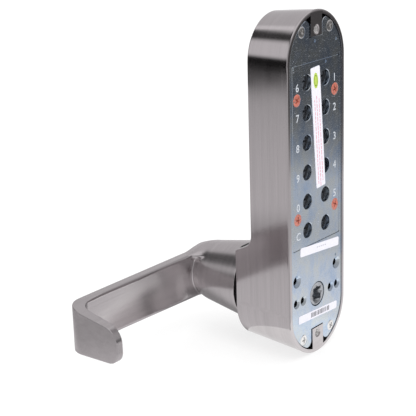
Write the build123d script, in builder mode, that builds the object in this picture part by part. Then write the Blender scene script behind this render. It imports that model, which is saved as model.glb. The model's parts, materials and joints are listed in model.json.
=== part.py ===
from build123d import *
import os
from math import cos, pi, radians, sin, tan

# Outside unit of a mechanical push-button lock with a lever handle, in millimetres.
#
# The origin is on the lever's axis, in the plane of the door face. The lock looks along -Y, the door lies on
# the +Y side and +Z is up. "Depth" is the distance in front of the door face: a depth of 30 lies at Y = -30.
# A BuildPart on Plane.XZ has its own x along X, its own y along Z and its own z along the depth.

# Case: an upright rounded-end shell, shallow behind the keypad and deep behind the lever
CASE_RADIUS = 30.0
CASE_TOP_CENTRE = 145.0
CASE_BOTTOM_CENTRE = -8.0
CASE_WALL = 2.5
CASE_DRAFT = 5.0
CASE_EDGE = 0.9
RIM_EDGE = 0.3
KEYPAD_DEPTH = 30.4
BLOCK_DEPTH = 43.3
SHELF_FRONT_Z = 27.7
SHELF_SLOPE = 25.0
SHELF_HOLLOW = 9.0

# Tapped fixing holes in two tabs of the case, flush with its rim
TAB_WIDTH = 11.7
TOP_TAB_Z = 159.7
BOTTOM_TAB_Z = -21.7
FIXING_TOP_Z = 163.3
FIXING_BOTTOM_Z = -25.7
FIXING_RADIUS = 2.5
FIXING_DEPTH = 20.0
FIXING_LEAD = 0.5

# Back plate and the code plate let into it
PLATE_FACE = 0.4
PLATE_THICKNESS = 3.0
PLATE_RADIUS = 27.0
PLATE_EDGE = 0.25
CODE_PLATE_WIDTH = 49.5
CODE_PLATE_BOTTOM = 33.6
CODE_PLATE_TOP = 145.0
CODE_PLATE_THICKNESS = 1.5
CODE_PLATE_CORNER = 1.2
NOTCH_WIDTH = 13.0
TOP_NOTCH_Z = 159.4
BOTTOM_NOTCH_Z = -21.4
NOTCH_EAR = 4.0
HUB_HOLE_RADIUS = 7.9
DIMPLE_RADIUS = 0.9
DIMPLE_DEPTH = 0.4
CODE_DIMPLES = [(-10.2, 143.0), (23.5, 143.6)]
BACK_DIMPLES = [(1.2, 156.8), (-21.3, 154.9), (-20.6, 19.7)]
SPARE_HOLES_SMALL = [(-22.1, 0), (-14.9, 0), (14.9, 0), (22.1, 0)]
SPARE_HOLES_LARGE = [(-21.5, 14.1), (21.5, 14.1)]
SPARE_SMALL_RADIUS = 2.0
SPARE_SMALL_SINK = 0.9
SPARE_LARGE_RADIUS = 2.1
SPARE_LARGE_SINK = 1.4
CODE_HOLE_EDGE = 0.3

# Screws
CODE_SCREW_PLACES = [(x, z) for x in (-20, 20) for z in (52.6, 124.8)]
BACK_SCREW_PLACES = [(-14.6, 163.5), (14.6, 163.5), (-14.9, -25.9), (14.9, -25.9)]
CODE_SCREW_HEAD = 3.7
BACK_SCREW_HEAD = 3.4
SCREW_HEAD_HEIGHT = 1.5
SCREW_SHANK_RADIUS = 1.8
SCREW_HOLE_RADIUS = 2.1
SCREW_SEAT = 0.1
CROSS_LENGTH = 4.0
CROSS_WIDTH = 0.9
CROSS_DEPTH = 1.0
CODE_SCREW_LENGTH = 9.0
BACK_SCREW_LENGTH = 12.0
POST_RADIUS = 4.3

# Keys: two columns of six, each key on one axis with its code tumbler
KEY_COLUMN = 9.6
KEY_TOP_Z = 133.6
KEY_PITCH = 18.0
KEY_COLUMNS = {-1: ["1", "2", "3", "4", "5", "plain"], 1: ["6", "7", "8", "9", "0", "c"]}
KEYS = {
    name: (side * KEY_COLUMN, KEY_TOP_Z - row * KEY_PITCH)
    for side, names in KEY_COLUMNS.items()
    for row, name in enumerate(names)
}
CODE_HOLE_RADIUS = 4.7
CAP_RADIUS = 5.3
CAP_PROUD = 2.5
CAP_EDGE = 0.6
FLANGE_RADIUS = 6.5
FLANGE_THICKNESS = 2.1
STEM_RADIUS = 2.5
STEM_END = 10.7
TUMBLER_RADIUS = 4.3
TUMBLER_BACK = 4.5
TUMBLER_FRONT = 13.7
TUMBLER_SLOT_WIDTH = 1.3
TUMBLER_SLOT_DEPTH = 1.4
TUMBLER_FLAT = 3.2
GAP = 0.3
PRESS_FIT = 0.05
SEAT_FIT = 0.1
BEYOND = 1.0

# Tumbler block and the locking slide in front of it
BLOCK_WIDTH = 46.0
BLOCK_BOTTOM = 35.6
BLOCK_TOP = 142.4
BLOCK_BACK = 3.45
BLOCK_FRONT = 14.0
RAIL_WIDTH = 3.0
BLOCK_CORNER = 2.0
SLIDE_WIDTH = 28.0
SLIDE_TOP = 142.8
SLIDE_BOTTOM = 37.0
SLIDE_BACK = 14.3
SLIDE_THICKNESS = 1.5
SLIDE_LIFT = 3.0
SLIDE_LEG_WIDTH = 9.0
SLIDE_CORNER = 2.0
SLIDE_NOSE = 1.0

# Lever cam, whose radius grows evenly with the angle and so lifts the slide evenly
CAM_RADIUS = 9.0
CAM_GAIN = SLIDE_LIFT / radians(45)
CAM_START = -10
CAM_END = 60
CAM_RETURN = 100
CAM_BACK = 13.9
CAM_FRONT = 16.2
NOSE_CLEARANCE = 0.45

# Springs
BUTTON_SPRING_RADIUS = 4.2
BUTTON_SPRING_WIRE = 0.35
BUTTON_SPRING_TURNS = 4.5
LEVER_SPRING_RADIUS = 13.0
LEVER_SPRING_WIRE = 0.9
LEVER_SPRING_TURNS = 3
SLIDE_SPRING_RADIUS = 2.4
SLIDE_SPRING_WIRE = 0.35
SLIDE_SPRING_TURNS = 9

# Lever: a conical neck on the axis, a flat arm towards +X and a return towards the door
NECK_BACK = 46.0
NECK_FRONT = 92.0
NECK_RADIUS = 25.5
NECK_TAPER = 0.174
NECK_RIM = 0.5
NECK_DOME = 8.0
ARM_BACK = 85.0
ARM_TOP = 14.3
ARM_BOTTOM_NECK = -16.4
ARM_BOTTOM = -14.5
ARM_TAPER_END = 84.0
TIP_X = 128.0
TIP_BACK = 51.0
TIP_THICKNESS = 5.4
CORNER_THICKNESS = 7.4
TIP_TOP = 6.35
OUTER_CORNER = 12.5
INNER_CORNER = 6.5
TIP_ROUND_TOP = 9.0
TIP_ROUND_BOTTOM = 7.0
LEVER_EDGE = 0.8

# Shaft, collar and hub
SHAFT_RADIUS = 10.5
SHAFT_FRONT = 64.0
SHAFT_SHOULDER = 24.0
SHAFT_END_RADIUS = 7.0
SHAFT_BACK = 10.0
SHAFT_EDGE = 0.5
SHAFT_BORE_RADIUS = 3.6
SHAFT_BORE_BACK = 18.0
GROOVE_RADIUS = 9.6
GROOVE_BACK = 35.8
GROOVE_FRONT = 37.2
COLLAR_RADIUS = 21.0
COLLAR_FRONT = 45.7
COLLAR_HEAD_WIDTH = 38.0
COLLAR_HEAD_Z = 27.5
COLLAR_HEAD_CORNER = 3.0
COLLAR_EDGE = 0.8
SPIGOT_RADIUS = 13.0
SPIGOT_BACK = 37.6
CIRCLIP_RADIUS = 13.0
CIRCLIP_MOUTH = 5.0
HUB_RADIUS = 7.5
HUB_FACE = 0.6
HUB_FLANGE_RADIUS = 10.5
HUB_FLANGE_BACK = 3.8
HUB_FLANGE_FRONT = 6.2
HUB_FRONT = 9.5
SPINDLE_SQUARE = 8.2
STAR_SQUARE = 7.6
STAR_DEPTH = 3.0
SOCKET_DEPTH = 8.4
HUB_EDGE = 0.4

# Key cylinder in the lever's neck
CYLINDER_RADIUS = 9.3
CYLINDER_BACK = 65.6
PLUG_RADIUS = 6.0
PLUG_BACK = 66.6
PLUG_PROUD = 0.3
KEYWAY_WIDTH = 1.3
KEYWAY_HEIGHT = 7.6
KEYWAY_DEPTH = 22.0
KEYWAY_WARD_START = 1.5
KEYWAY_WARD_HEIGHT = 1.3
PLUG_EDGE = 0.3
TAILPIECE_WIDTH = 5.6
TAILPIECE_THICKNESS = 1.6
TAILPIECE_BACK = 20.0
SET_SCREW_DEPTH = 56.0
SET_SCREW_RADIUS = 2.9
SET_SCREW_LENGTH = 8.5

# Paper labels: name, width, height, centre and tilt in degrees, anticlockwise with X to the right
LABEL_THICKNESS = 0.18
LABEL_CORNER = 1.0
LABELS = [
    ("long_label", 9.5, 74.0, (-1.65, 104.6), -4.5),
    ("upper_label", 42.0, 5.5, (-3.0, 29.6), 5.0),
    ("lower_label", 42.0, 5.0, (-0.7, -12.6), 3.2),
]

CASE_MID_Z = (CASE_TOP_CENTRE + CASE_BOTTOM_CENTRE) / 2
CASE_CENTRES = CASE_TOP_CENTRE - CASE_BOTTOM_CENTRE
FRONT_WALL_BACK = KEYPAD_DEPTH - CASE_WALL
ALONG_DEPTH = (Align.CENTER, Align.CENTER, Align.MIN)
FROM_BOTTOM = (Align.CENTER, Align.MIN, Align.MIN)

os.makedirs("parts", exist_ok=True)


def bar(radius, start, end, mode=Mode.ADD):
    """Add a round bar along the depth, from one depth to another."""
    with Locations((0, 0, start)):
        Cylinder(radius, end - start, align=ALONG_DEPTH, mode=mode)


def cone(start_radius, end_radius, start, end, mode=Mode.ADD):
    """Add a cone along the depth, with its radius at each of the two depths."""
    with Locations((0, 0, start)):
        Cone(start_radius, end_radius, end - start, align=ALONG_DEPTH, mode=mode)


def slab(width, bottom, top, start, end, mode=Mode.ADD):
    """Add an upright slab, centred on X, between two heights and two depths."""
    with Locations((0, bottom, start)):
        Box(width, top - bottom, end - start, align=FROM_BOTTOM, mode=mode)


def screw_hole(head_radius, far):
    """Cut a countersunk clearance hole that opens towards the door."""
    cone(head_radius + SCREW_SEAT, SCREW_HOLE_RADIUS, PLATE_FACE, PLATE_FACE + SCREW_HEAD_HEIGHT, Mode.SUBTRACT)
    bar(SCREW_HOLE_RADIUS, PLATE_FACE, far, Mode.SUBTRACT)


def cross_head_screw(head_radius, length):
    """Add a countersunk screw with a cross recess, its head towards the door."""
    cone(head_radius, SCREW_SHANK_RADIUS, PLATE_FACE, PLATE_FACE + SCREW_HEAD_HEIGHT)
    bar(SCREW_SHANK_RADIUS, PLATE_FACE, PLATE_FACE + length)
    for width, height in ((CROSS_LENGTH, CROSS_WIDTH), (CROSS_WIDTH, CROSS_LENGTH)):
        slab(width, -height / 2, height / 2, PLATE_FACE, PLATE_FACE + CROSS_DEPTH, Mode.SUBTRACT)


def case_form(inset):
    """Return the case's outer form, drawn in by the inset on every side but the door side.

    It stands in a frame of its own, with x along X, y along Z and z along the depth.
    """
    slope = tan(radians(SHELF_SLOPE))
    face_depth = KEYPAD_DEPTH - inset
    beyond = 2 * BLOCK_DEPTH
    bend_z = SHELF_FRONT_Z + (BLOCK_DEPTH - face_depth) * slope - inset / cos(radians(SHELF_SLOPE))
    with BuildPart() as form:
        with BuildSketch(Plane.XY):
            with Locations((0, CASE_MID_Z)):
                SlotCenterToCenter(CASE_CENTRES, 2 * (CASE_RADIUS - inset), rotation=90)
        extrude(amount=BLOCK_DEPTH - inset, taper=CASE_DRAFT)
        with BuildSketch(Plane.YZ) as above_shelf:
            with BuildLine():
                Polyline(
                    (2 * CASE_TOP_CENTRE, face_depth),
                    (bend_z, face_depth),
                    (bend_z - (beyond - face_depth) * slope, beyond),
                    (2 * CASE_TOP_CENTRE, beyond),
                    close=True,
                )
            make_face()
            fillet(above_shelf.vertices().sort_by_distance((bend_z, face_depth))[0], SHELF_HOLLOW + inset)
        extrude(amount=CASE_RADIUS, both=True, mode=Mode.SUBTRACT)
    return form.part


def coil_spring(radius, wire, turns, start, length, direction):
    """Return a coil of round wire that starts at a point and runs along a direction."""
    with BuildPart() as coil:
        with BuildLine() as path:
            Helix(pitch=length / turns, height=length, radius=radius, center=start, direction=direction)
        with BuildSketch(Plane(origin=path.line @ 0, z_dir=path.line % 0)):
            Circle(wire)
        sweep()
    return coil.part


# Front housing: the shell, with its tabs and screw posts left standing when the cavity is cut. The cavity
# stands in the same frame as the case form.
with BuildPart() as cavity:
    add(case_form(CASE_WALL))
    slab(TAB_WIDTH, TOP_TAB_Z, 2 * CASE_TOP_CENTRE, 0, BLOCK_DEPTH, Mode.SUBTRACT)
    slab(TAB_WIDTH, -CASE_TOP_CENTRE, BOTTOM_TAB_Z, 0, BLOCK_DEPTH, Mode.SUBTRACT)
    with Locations(*BACK_SCREW_PLACES):
        bar(POST_RADIUS, PLATE_FACE + PLATE_THICKNESS, BLOCK_DEPTH, Mode.SUBTRACT)

with BuildPart(Plane.XZ) as front_housing:
    add(case_form(0))
    front_edges = front_housing.faces().filter_by(lambda face: face.normal_at().Y < -0.3).edges()
    fillet(front_edges - front_edges.filter_by(Axis.X), CASE_EDGE)
    add(cavity.part, mode=Mode.SUBTRACT)
    chamfer(front_housing.faces().sort_by(Axis.Y)[-1].outer_wire().edges(), RIM_EDGE)
    with Locations(*KEYS.values()):
        bar(CAP_RADIUS + GAP, FRONT_WALL_BACK - BEYOND, KEYPAD_DEPTH + BEYOND, Mode.SUBTRACT)
    bar(SPIGOT_RADIUS + GAP, SPIGOT_BACK, BLOCK_DEPTH + BEYOND, Mode.SUBTRACT)
    with Locations((0, FIXING_TOP_Z), (0, FIXING_BOTTOM_Z)):
        bar(FIXING_RADIUS, 0, FIXING_DEPTH, Mode.SUBTRACT)
        cone(FIXING_RADIUS + FIXING_LEAD, FIXING_RADIUS, 0, FIXING_LEAD, Mode.SUBTRACT)
    with Locations(*BACK_SCREW_PLACES):
        bar(SCREW_SHANK_RADIUS + GAP / 2, PLATE_FACE, PLATE_FACE + BACK_SCREW_LENGTH + BEYOND, Mode.SUBTRACT)
front_housing.part.label = "front_housing"
export_step(front_housing.part, "parts/front_housing.step")

# Back plate, with a recess for the code plate and a notch for each tab
with BuildPart(Plane.XZ) as back_plate:
    with BuildSketch(Plane.XZ.offset(PLATE_FACE)):
        with Locations((0, CASE_MID_Z)):
            SlotCenterToCenter(CASE_CENTRES, 2 * PLATE_RADIUS, rotation=90)
    extrude(amount=PLATE_THICKNESS)
    plate_end = PLATE_FACE + PLATE_THICKNESS
    slab(NOTCH_WIDTH, TOP_NOTCH_Z, 2 * CASE_TOP_CENTRE, 0, plate_end + BEYOND, Mode.SUBTRACT)
    slab(NOTCH_WIDTH, -CASE_TOP_CENTRE, BOTTOM_NOTCH_Z, 0, plate_end + BEYOND, Mode.SUBTRACT)
    ears = back_plate.edges().filter_by(Axis.Y).filter_by_position(Axis.X, -NOTCH_WIDTH, NOTCH_WIDTH)
    fillet(ears.sort_by(Axis.Z)[:2] + ears.sort_by(Axis.Z)[-2:], NOTCH_EAR)
    chamfer(back_plate.faces().sort_by(Axis.Y)[-1].edges(), PLATE_EDGE)
    recess_end = PLATE_FACE + CODE_PLATE_THICKNESS
    slab(CODE_PLATE_WIDTH + GAP, CODE_PLATE_BOTTOM - GAP / 2, CODE_PLATE_TOP + GAP / 2,
         0, recess_end, Mode.SUBTRACT)
    with Locations(*KEYS.values()):
        bar(CODE_HOLE_RADIUS, 0, plate_end + BEYOND, Mode.SUBTRACT)
    with Locations(*CODE_SCREW_PLACES):
        bar(SCREW_HOLE_RADIUS, 0, plate_end + BEYOND, Mode.SUBTRACT)
    with Locations(*BACK_SCREW_PLACES):
        screw_hole(BACK_SCREW_HEAD, plate_end + 1)
    with Locations(*SPARE_HOLES_SMALL):
        cone(SPARE_SMALL_RADIUS + SPARE_SMALL_SINK, SPARE_SMALL_RADIUS,
             PLATE_FACE, PLATE_FACE + SPARE_SMALL_SINK, Mode.SUBTRACT)
        bar(SPARE_SMALL_RADIUS, 0, plate_end + BEYOND, Mode.SUBTRACT)
    with Locations(*SPARE_HOLES_LARGE):
        cone(SPARE_LARGE_RADIUS + SPARE_LARGE_SINK, SPARE_LARGE_RADIUS,
             PLATE_FACE, PLATE_FACE + SPARE_LARGE_SINK, Mode.SUBTRACT)
        bar(SPARE_LARGE_RADIUS, 0, plate_end + BEYOND, Mode.SUBTRACT)
    with Locations(*BACK_DIMPLES):
        bar(DIMPLE_RADIUS, 0, PLATE_FACE + DIMPLE_DEPTH, Mode.SUBTRACT)
    bar(HUB_HOLE_RADIUS, 0, plate_end + BEYOND, Mode.SUBTRACT)
back_plate.part.label = "back_plate"
export_step(back_plate.part, "parts/back_plate.step")

# Code plate
with BuildPart(Plane.XZ) as code_plate:
    slab(CODE_PLATE_WIDTH, CODE_PLATE_BOTTOM, CODE_PLATE_TOP, PLATE_FACE, recess_end)
    fillet(code_plate.edges().filter_by(Axis.Y), CODE_PLATE_CORNER)
    chamfer(code_plate.faces().sort_by(Axis.Y)[-1].edges(), PLATE_EDGE)
    with Locations(*KEYS.values()):
        bar(CODE_HOLE_RADIUS, 0, recess_end + BEYOND, Mode.SUBTRACT)
        cone(CODE_HOLE_RADIUS + CODE_HOLE_EDGE, CODE_HOLE_RADIUS,
             PLATE_FACE, PLATE_FACE + CODE_HOLE_EDGE, Mode.SUBTRACT)
    with Locations(*CODE_SCREW_PLACES):
        screw_hole(CODE_SCREW_HEAD, recess_end + BEYOND)
    with Locations(*CODE_DIMPLES):
        bar(DIMPLE_RADIUS, 0, PLATE_FACE + DIMPLE_DEPTH, Mode.SUBTRACT)
code_plate.part.label = "code_plate"
export_step(code_plate.part, "parts/code_plate.step")

# Screws, one node for each set
with BuildPart(Plane.XZ) as code_plate_screws:
    with Locations(*CODE_SCREW_PLACES):
        cross_head_screw(CODE_SCREW_HEAD, CODE_SCREW_LENGTH)
code_plate_screws.part.label = "code_plate_screws"
export_step(code_plate_screws.part, "parts/code_plate_screws.step")

with BuildPart(Plane.XZ) as back_plate_screws:
    with Locations(*BACK_SCREW_PLACES):
        cross_head_screw(BACK_SCREW_HEAD, BACK_SCREW_LENGTH)
back_plate_screws.part.label = "back_plate_screws"
export_step(back_plate_screws.part, "parts/back_plate_screws.step")

# Labels
for name, width, height, centre, tilt in LABELS:
    with BuildPart() as label:
        with BuildSketch(Plane.XZ.offset(PLATE_FACE - LABEL_THICKNESS)):
            with Locations(centre):
                RectangleRounded(width, height, LABEL_CORNER, rotation=tilt)
        extrude(amount=LABEL_THICKNESS)
    label.part.label = name
    export_step(label.part, f"parts/{name}.step")

# Tumbler block: a cast block with a bore for each tumbler and a rail on each side of the slide
with BuildPart(Plane.XZ) as tumbler_block:
    slab(BLOCK_WIDTH, BLOCK_BOTTOM, BLOCK_TOP, BLOCK_BACK, BLOCK_FRONT)
    for side in (-1, 1):
        with Locations((side * (SLIDE_WIDTH / 2 + GAP + RAIL_WIDTH / 2), 0)):
            slab(RAIL_WIDTH, BLOCK_BOTTOM, BLOCK_TOP, BLOCK_FRONT, SLIDE_BACK + SLIDE_THICKNESS + GAP)
    fillet(tumbler_block.edges().filter_by(Axis.Y).group_by(Axis.Y)[-1], BLOCK_CORNER)
    with Locations(*KEYS.values()):
        bar(TUMBLER_RADIUS + GAP, 0, BLOCK_FRONT + BEYOND, Mode.SUBTRACT)
    with Locations(*CODE_SCREW_PLACES):
        bar(SCREW_SHANK_RADIUS + GAP / 2, 0, PLATE_FACE + CODE_SCREW_LENGTH + BEYOND, Mode.SUBTRACT)
tumbler_block.part.label = "tumbler_block"
export_step(tumbler_block.part, "parts/tumbler_block.step")

# Locking slide: a plate with a long slot round each button stem, and a leg down to the lever's cam
with BuildPart(Plane.XZ) as locking_slide:
    nose_z = CAM_RADIUS + NOSE_CLEARANCE + SLIDE_NOSE
    with BuildSketch(Plane.XZ.offset(SLIDE_BACK)) as slide_outline:
        with Locations((0, (SLIDE_TOP + SLIDE_BOTTOM) / 2)):
            RectangleRounded(SLIDE_WIDTH, SLIDE_TOP - SLIDE_BOTTOM, SLIDE_CORNER)
        with BuildLine():
            Polyline(
                (-SLIDE_LEG_WIDTH / 2, SLIDE_BOTTOM + BEYOND),
                (-SLIDE_LEG_WIDTH / 2, nose_z + SLIDE_LEG_WIDTH / 2),
                (-SLIDE_NOSE, nose_z),
                (SLIDE_NOSE, nose_z),
                (SLIDE_LEG_WIDTH / 2, nose_z + SLIDE_LEG_WIDTH / 2),
                (SLIDE_LEG_WIDTH / 2, SLIDE_BOTTOM + BEYOND),
                close=True,
            )
        make_face()
        with Locations((0, nose_z)):
            Circle(SLIDE_NOSE)
        with Locations(*KEYS.values()):
            with Locations((0, -SLIDE_LIFT / 2)):
                SlotOverall(2 * (STEM_RADIUS + GAP) + SLIDE_LIFT + GAP, 2 * (STEM_RADIUS + GAP),
                            rotation=90, mode=Mode.SUBTRACT)
    extrude(amount=SLIDE_THICKNESS)
locking_slide.part.label = "locking_slide"
export_step(locking_slide.part, "parts/locking_slide.step")

# Buttons, tumblers and springs
slide_front = SLIDE_BACK + SLIDE_THICKNESS
flange_front = FRONT_WALL_BACK - GAP
flange_back = flange_front - FLANGE_THICKNESS
for name, (key_x, key_z) in KEYS.items():
    with BuildPart(Plane.XZ) as button:
        with Locations((key_x, key_z)):
            bar(CAP_RADIUS, flange_front, KEYPAD_DEPTH + CAP_PROUD)
            fillet(button.edges().group_by(Axis.Y)[0], CAP_EDGE)
            bar(FLANGE_RADIUS, flange_back, flange_front)
            bar(STEM_RADIUS, STEM_END, flange_back)
    button.part.label = f"button_{name}"
    export_step(button.part, f"parts/button_{name}.step")

    with BuildPart(Plane.XZ) as tumbler:
        with Locations((key_x, key_z)):
            bar(TUMBLER_RADIUS, TUMBLER_BACK, TUMBLER_FRONT)
            bar(STEM_RADIUS + GAP, STEM_END - GAP, TUMBLER_FRONT, Mode.SUBTRACT)
            slab(2 * TUMBLER_RADIUS + BEYOND, -TUMBLER_SLOT_WIDTH / 2, TUMBLER_SLOT_WIDTH / 2,
                 TUMBLER_BACK, TUMBLER_BACK + TUMBLER_SLOT_DEPTH, Mode.SUBTRACT)
            slab(2 * TUMBLER_RADIUS, TUMBLER_FLAT, 2 * TUMBLER_RADIUS,
                 TUMBLER_BACK, TUMBLER_BACK + 2 * TUMBLER_SLOT_DEPTH, Mode.SUBTRACT)
    tumbler.part.label = f"tumbler_{name}"
    export_step(tumbler.part, f"parts/tumbler_{name}.step")

    spring_start = slide_front + BUTTON_SPRING_WIRE + SEAT_FIT
    button_spring = coil_spring(
        BUTTON_SPRING_RADIUS,
        BUTTON_SPRING_WIRE,
        BUTTON_SPRING_TURNS,
        (key_x, -spring_start, key_z),
        flange_back - BUTTON_SPRING_WIRE - SEAT_FIT - spring_start,
        (0, -1, 0),
    )
    button_spring.label = f"button_spring_{name}"
    export_step(button_spring, f"parts/button_spring_{name}.step")

slide_spring = coil_spring(
    SLIDE_SPRING_RADIUS,
    SLIDE_SPRING_WIRE,
    SLIDE_SPRING_TURNS,
    (0, -(SLIDE_BACK + SLIDE_THICKNESS / 2), SLIDE_TOP + GAP + SLIDE_SPRING_WIRE),
    TOP_TAB_Z - SLIDE_TOP - 2 * (GAP + SLIDE_SPRING_WIRE),
    (0, 0, 1),
)
slide_spring.label = "slide_spring"
export_step(slide_spring, "parts/slide_spring.step")

# Black nylon collar: the lever's bearing in the front wall, with a flat head that closes the gap at the shelf
with BuildPart(Plane.XZ) as lever_collar:
    with BuildSketch(Plane.XZ.offset(BLOCK_DEPTH)):
        Circle(COLLAR_RADIUS)
        with Locations((0, COLLAR_HEAD_Z / 2)):
            RectangleRounded(COLLAR_HEAD_WIDTH, COLLAR_HEAD_Z, COLLAR_HEAD_CORNER)
    extrude(amount=COLLAR_FRONT - BLOCK_DEPTH)
    fillet(lever_collar.edges().group_by(Axis.Y)[0], COLLAR_EDGE)
    bar(SPIGOT_RADIUS, SPIGOT_BACK, BLOCK_DEPTH)
    bar(SHAFT_RADIUS + GAP, SPIGOT_BACK, COLLAR_FRONT, Mode.SUBTRACT)
lever_collar.part.label = "lever_collar"
export_step(lever_collar.part, "parts/lever_collar.step")

# Lever shaft, its retaining ring and its cam
with BuildPart(Plane.XZ) as lever_shaft:
    bar(SHAFT_RADIUS, SHAFT_SHOULDER, SHAFT_FRONT)
    bar(SHAFT_END_RADIUS, SHAFT_BACK, SHAFT_SHOULDER)
    chamfer(lever_shaft.edges().group_by(Axis.Y)[0], SHAFT_EDGE)
    bar(SHAFT_BORE_RADIUS, SHAFT_BORE_BACK, SHAFT_FRONT, Mode.SUBTRACT)
    with BuildSketch(Plane.XZ.offset(GROOVE_BACK)):
        Circle(SHAFT_RADIUS + BEYOND)
        Circle(GROOVE_RADIUS, mode=Mode.SUBTRACT)
    extrude(amount=GROOVE_FRONT - GROOVE_BACK, mode=Mode.SUBTRACT)
lever_shaft.part.label = "lever_shaft"
export_step(lever_shaft.part, "parts/lever_shaft.step")

with BuildPart(Plane.XZ) as lever_circlip:
    bar(CIRCLIP_RADIUS, GROOVE_BACK + SEAT_FIT, GROOVE_FRONT - SEAT_FIT)
    bar(GROOVE_RADIUS + PRESS_FIT, GROOVE_BACK, GROOVE_FRONT, Mode.SUBTRACT)
    slab(CIRCLIP_MOUTH, 0, 2 * CIRCLIP_RADIUS, GROOVE_BACK, GROOVE_FRONT, Mode.SUBTRACT)
lever_circlip.part.label = "lever_circlip"
export_step(lever_circlip.part, "parts/lever_circlip.step")


def cam_point(angle):
    """Return the point of the cam's edge at an angle in degrees from +Z towards -X."""
    radius = CAM_RADIUS + CAM_GAIN * radians(angle)
    return (-radius * sin(radians(angle)), radius * cos(radians(angle)))


def base_point(angle):
    """Return the point of the cam's base circle at an angle in degrees from +Z towards -X."""
    radius = CAM_RADIUS + CAM_GAIN * radians(CAM_START)
    return (-radius * sin(radians(angle)), radius * cos(radians(angle)))


with BuildPart(Plane.XZ) as lever_cam:
    with BuildSketch(Plane.XZ.offset(CAM_BACK)):
        with BuildLine():
            Spline(*[cam_point(angle) for angle in range(CAM_START, CAM_END + 1, 10)])
            Line(cam_point(CAM_END), base_point(CAM_RETURN))
            ThreePointArc(
                base_point(CAM_RETURN),
                base_point((CAM_RETURN + CAM_START + 360) / 2),
                base_point(CAM_START),
            )
        make_face()
    extrude(amount=CAM_FRONT - CAM_BACK)
    bar(SHAFT_END_RADIUS + PRESS_FIT, CAM_BACK, CAM_FRONT, Mode.SUBTRACT)
lever_cam.part.label = "lever_cam"
export_step(lever_cam.part, "parts/lever_cam.step")

lever_spring = coil_spring(
    LEVER_SPRING_RADIUS,
    LEVER_SPRING_WIRE,
    LEVER_SPRING_TURNS,
    (0, -(SHAFT_SHOULDER + LEVER_SPRING_WIRE), 0),
    GROOVE_BACK - SHAFT_SHOULDER - 2 * LEVER_SPRING_WIRE - GAP,
    (0, -1, 0),
)
lever_spring.label = "lever_spring"
export_step(lever_spring, "parts/lever_spring.step")

# Spindle hub: a flanged ring behind the back plate, with a square socket and a second, turned square at its mouth
with BuildPart(Plane.XZ) as spindle_hub:
    bar(HUB_RADIUS, HUB_FACE, HUB_FRONT)
    bar(HUB_FLANGE_RADIUS, HUB_FLANGE_BACK, HUB_FLANGE_FRONT)
    with BuildSketch(Plane.XZ.offset(HUB_FACE)):
        Rectangle(SPINDLE_SQUARE, SPINDLE_SQUARE)
    extrude(amount=SOCKET_DEPTH - HUB_FACE, mode=Mode.SUBTRACT)
    with BuildSketch(Plane.XZ.offset(HUB_FACE)):
        Rectangle(STAR_SQUARE, STAR_SQUARE, rotation=45)
    extrude(amount=STAR_DEPTH - HUB_FACE, mode=Mode.SUBTRACT)
    chamfer(spindle_hub.edges().filter_by(GeomType.CIRCLE).group_by(Axis.Y)[-1], HUB_EDGE)
spindle_hub.part.label = "spindle_hub"
export_step(spindle_hub.part, "parts/spindle_hub.step")

# Key cylinder in the neck: a fixed body, a plug that turns with the key, and the bar that the plug drives
with BuildPart(Plane.XZ) as cylinder_body:
    bar(CYLINDER_RADIUS, CYLINDER_BACK, NECK_FRONT)
    bar(PLUG_RADIUS + GAP, CYLINDER_BACK, NECK_FRONT, Mode.SUBTRACT)
cylinder_body.part.label = "cylinder_body"
export_step(cylinder_body.part, "parts/cylinder_body.step")

with BuildPart(Plane.XZ) as cylinder_plug:
    bar(PLUG_RADIUS, PLUG_BACK, NECK_FRONT + PLUG_PROUD)
    chamfer(cylinder_plug.edges().group_by(Axis.Y)[0], PLUG_EDGE)
    keyway_back = NECK_FRONT + PLUG_PROUD - KEYWAY_DEPTH
    slab(KEYWAY_WIDTH, -KEYWAY_HEIGHT / 2, KEYWAY_HEIGHT / 2, keyway_back, NECK_FRONT + BEYOND, Mode.SUBTRACT)
    ward_bottom = KEYWAY_WARD_START - KEYWAY_HEIGHT / 2
    slab(2 * KEYWAY_WIDTH, ward_bottom, ward_bottom + KEYWAY_WARD_HEIGHT,
         keyway_back, NECK_FRONT + BEYOND, Mode.SUBTRACT)
cylinder_plug.part.label = "cylinder_plug"
export_step(cylinder_plug.part, "parts/cylinder_plug.step")

with BuildPart(Plane.XZ) as cylinder_tailpiece:
    slab(TAILPIECE_THICKNESS, -TAILPIECE_WIDTH / 2, TAILPIECE_WIDTH / 2, TAILPIECE_BACK, PLUG_BACK)
cylinder_tailpiece.part.label = "cylinder_tailpiece"
export_step(cylinder_tailpiece.part, "parts/cylinder_tailpiece.step")

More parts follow.
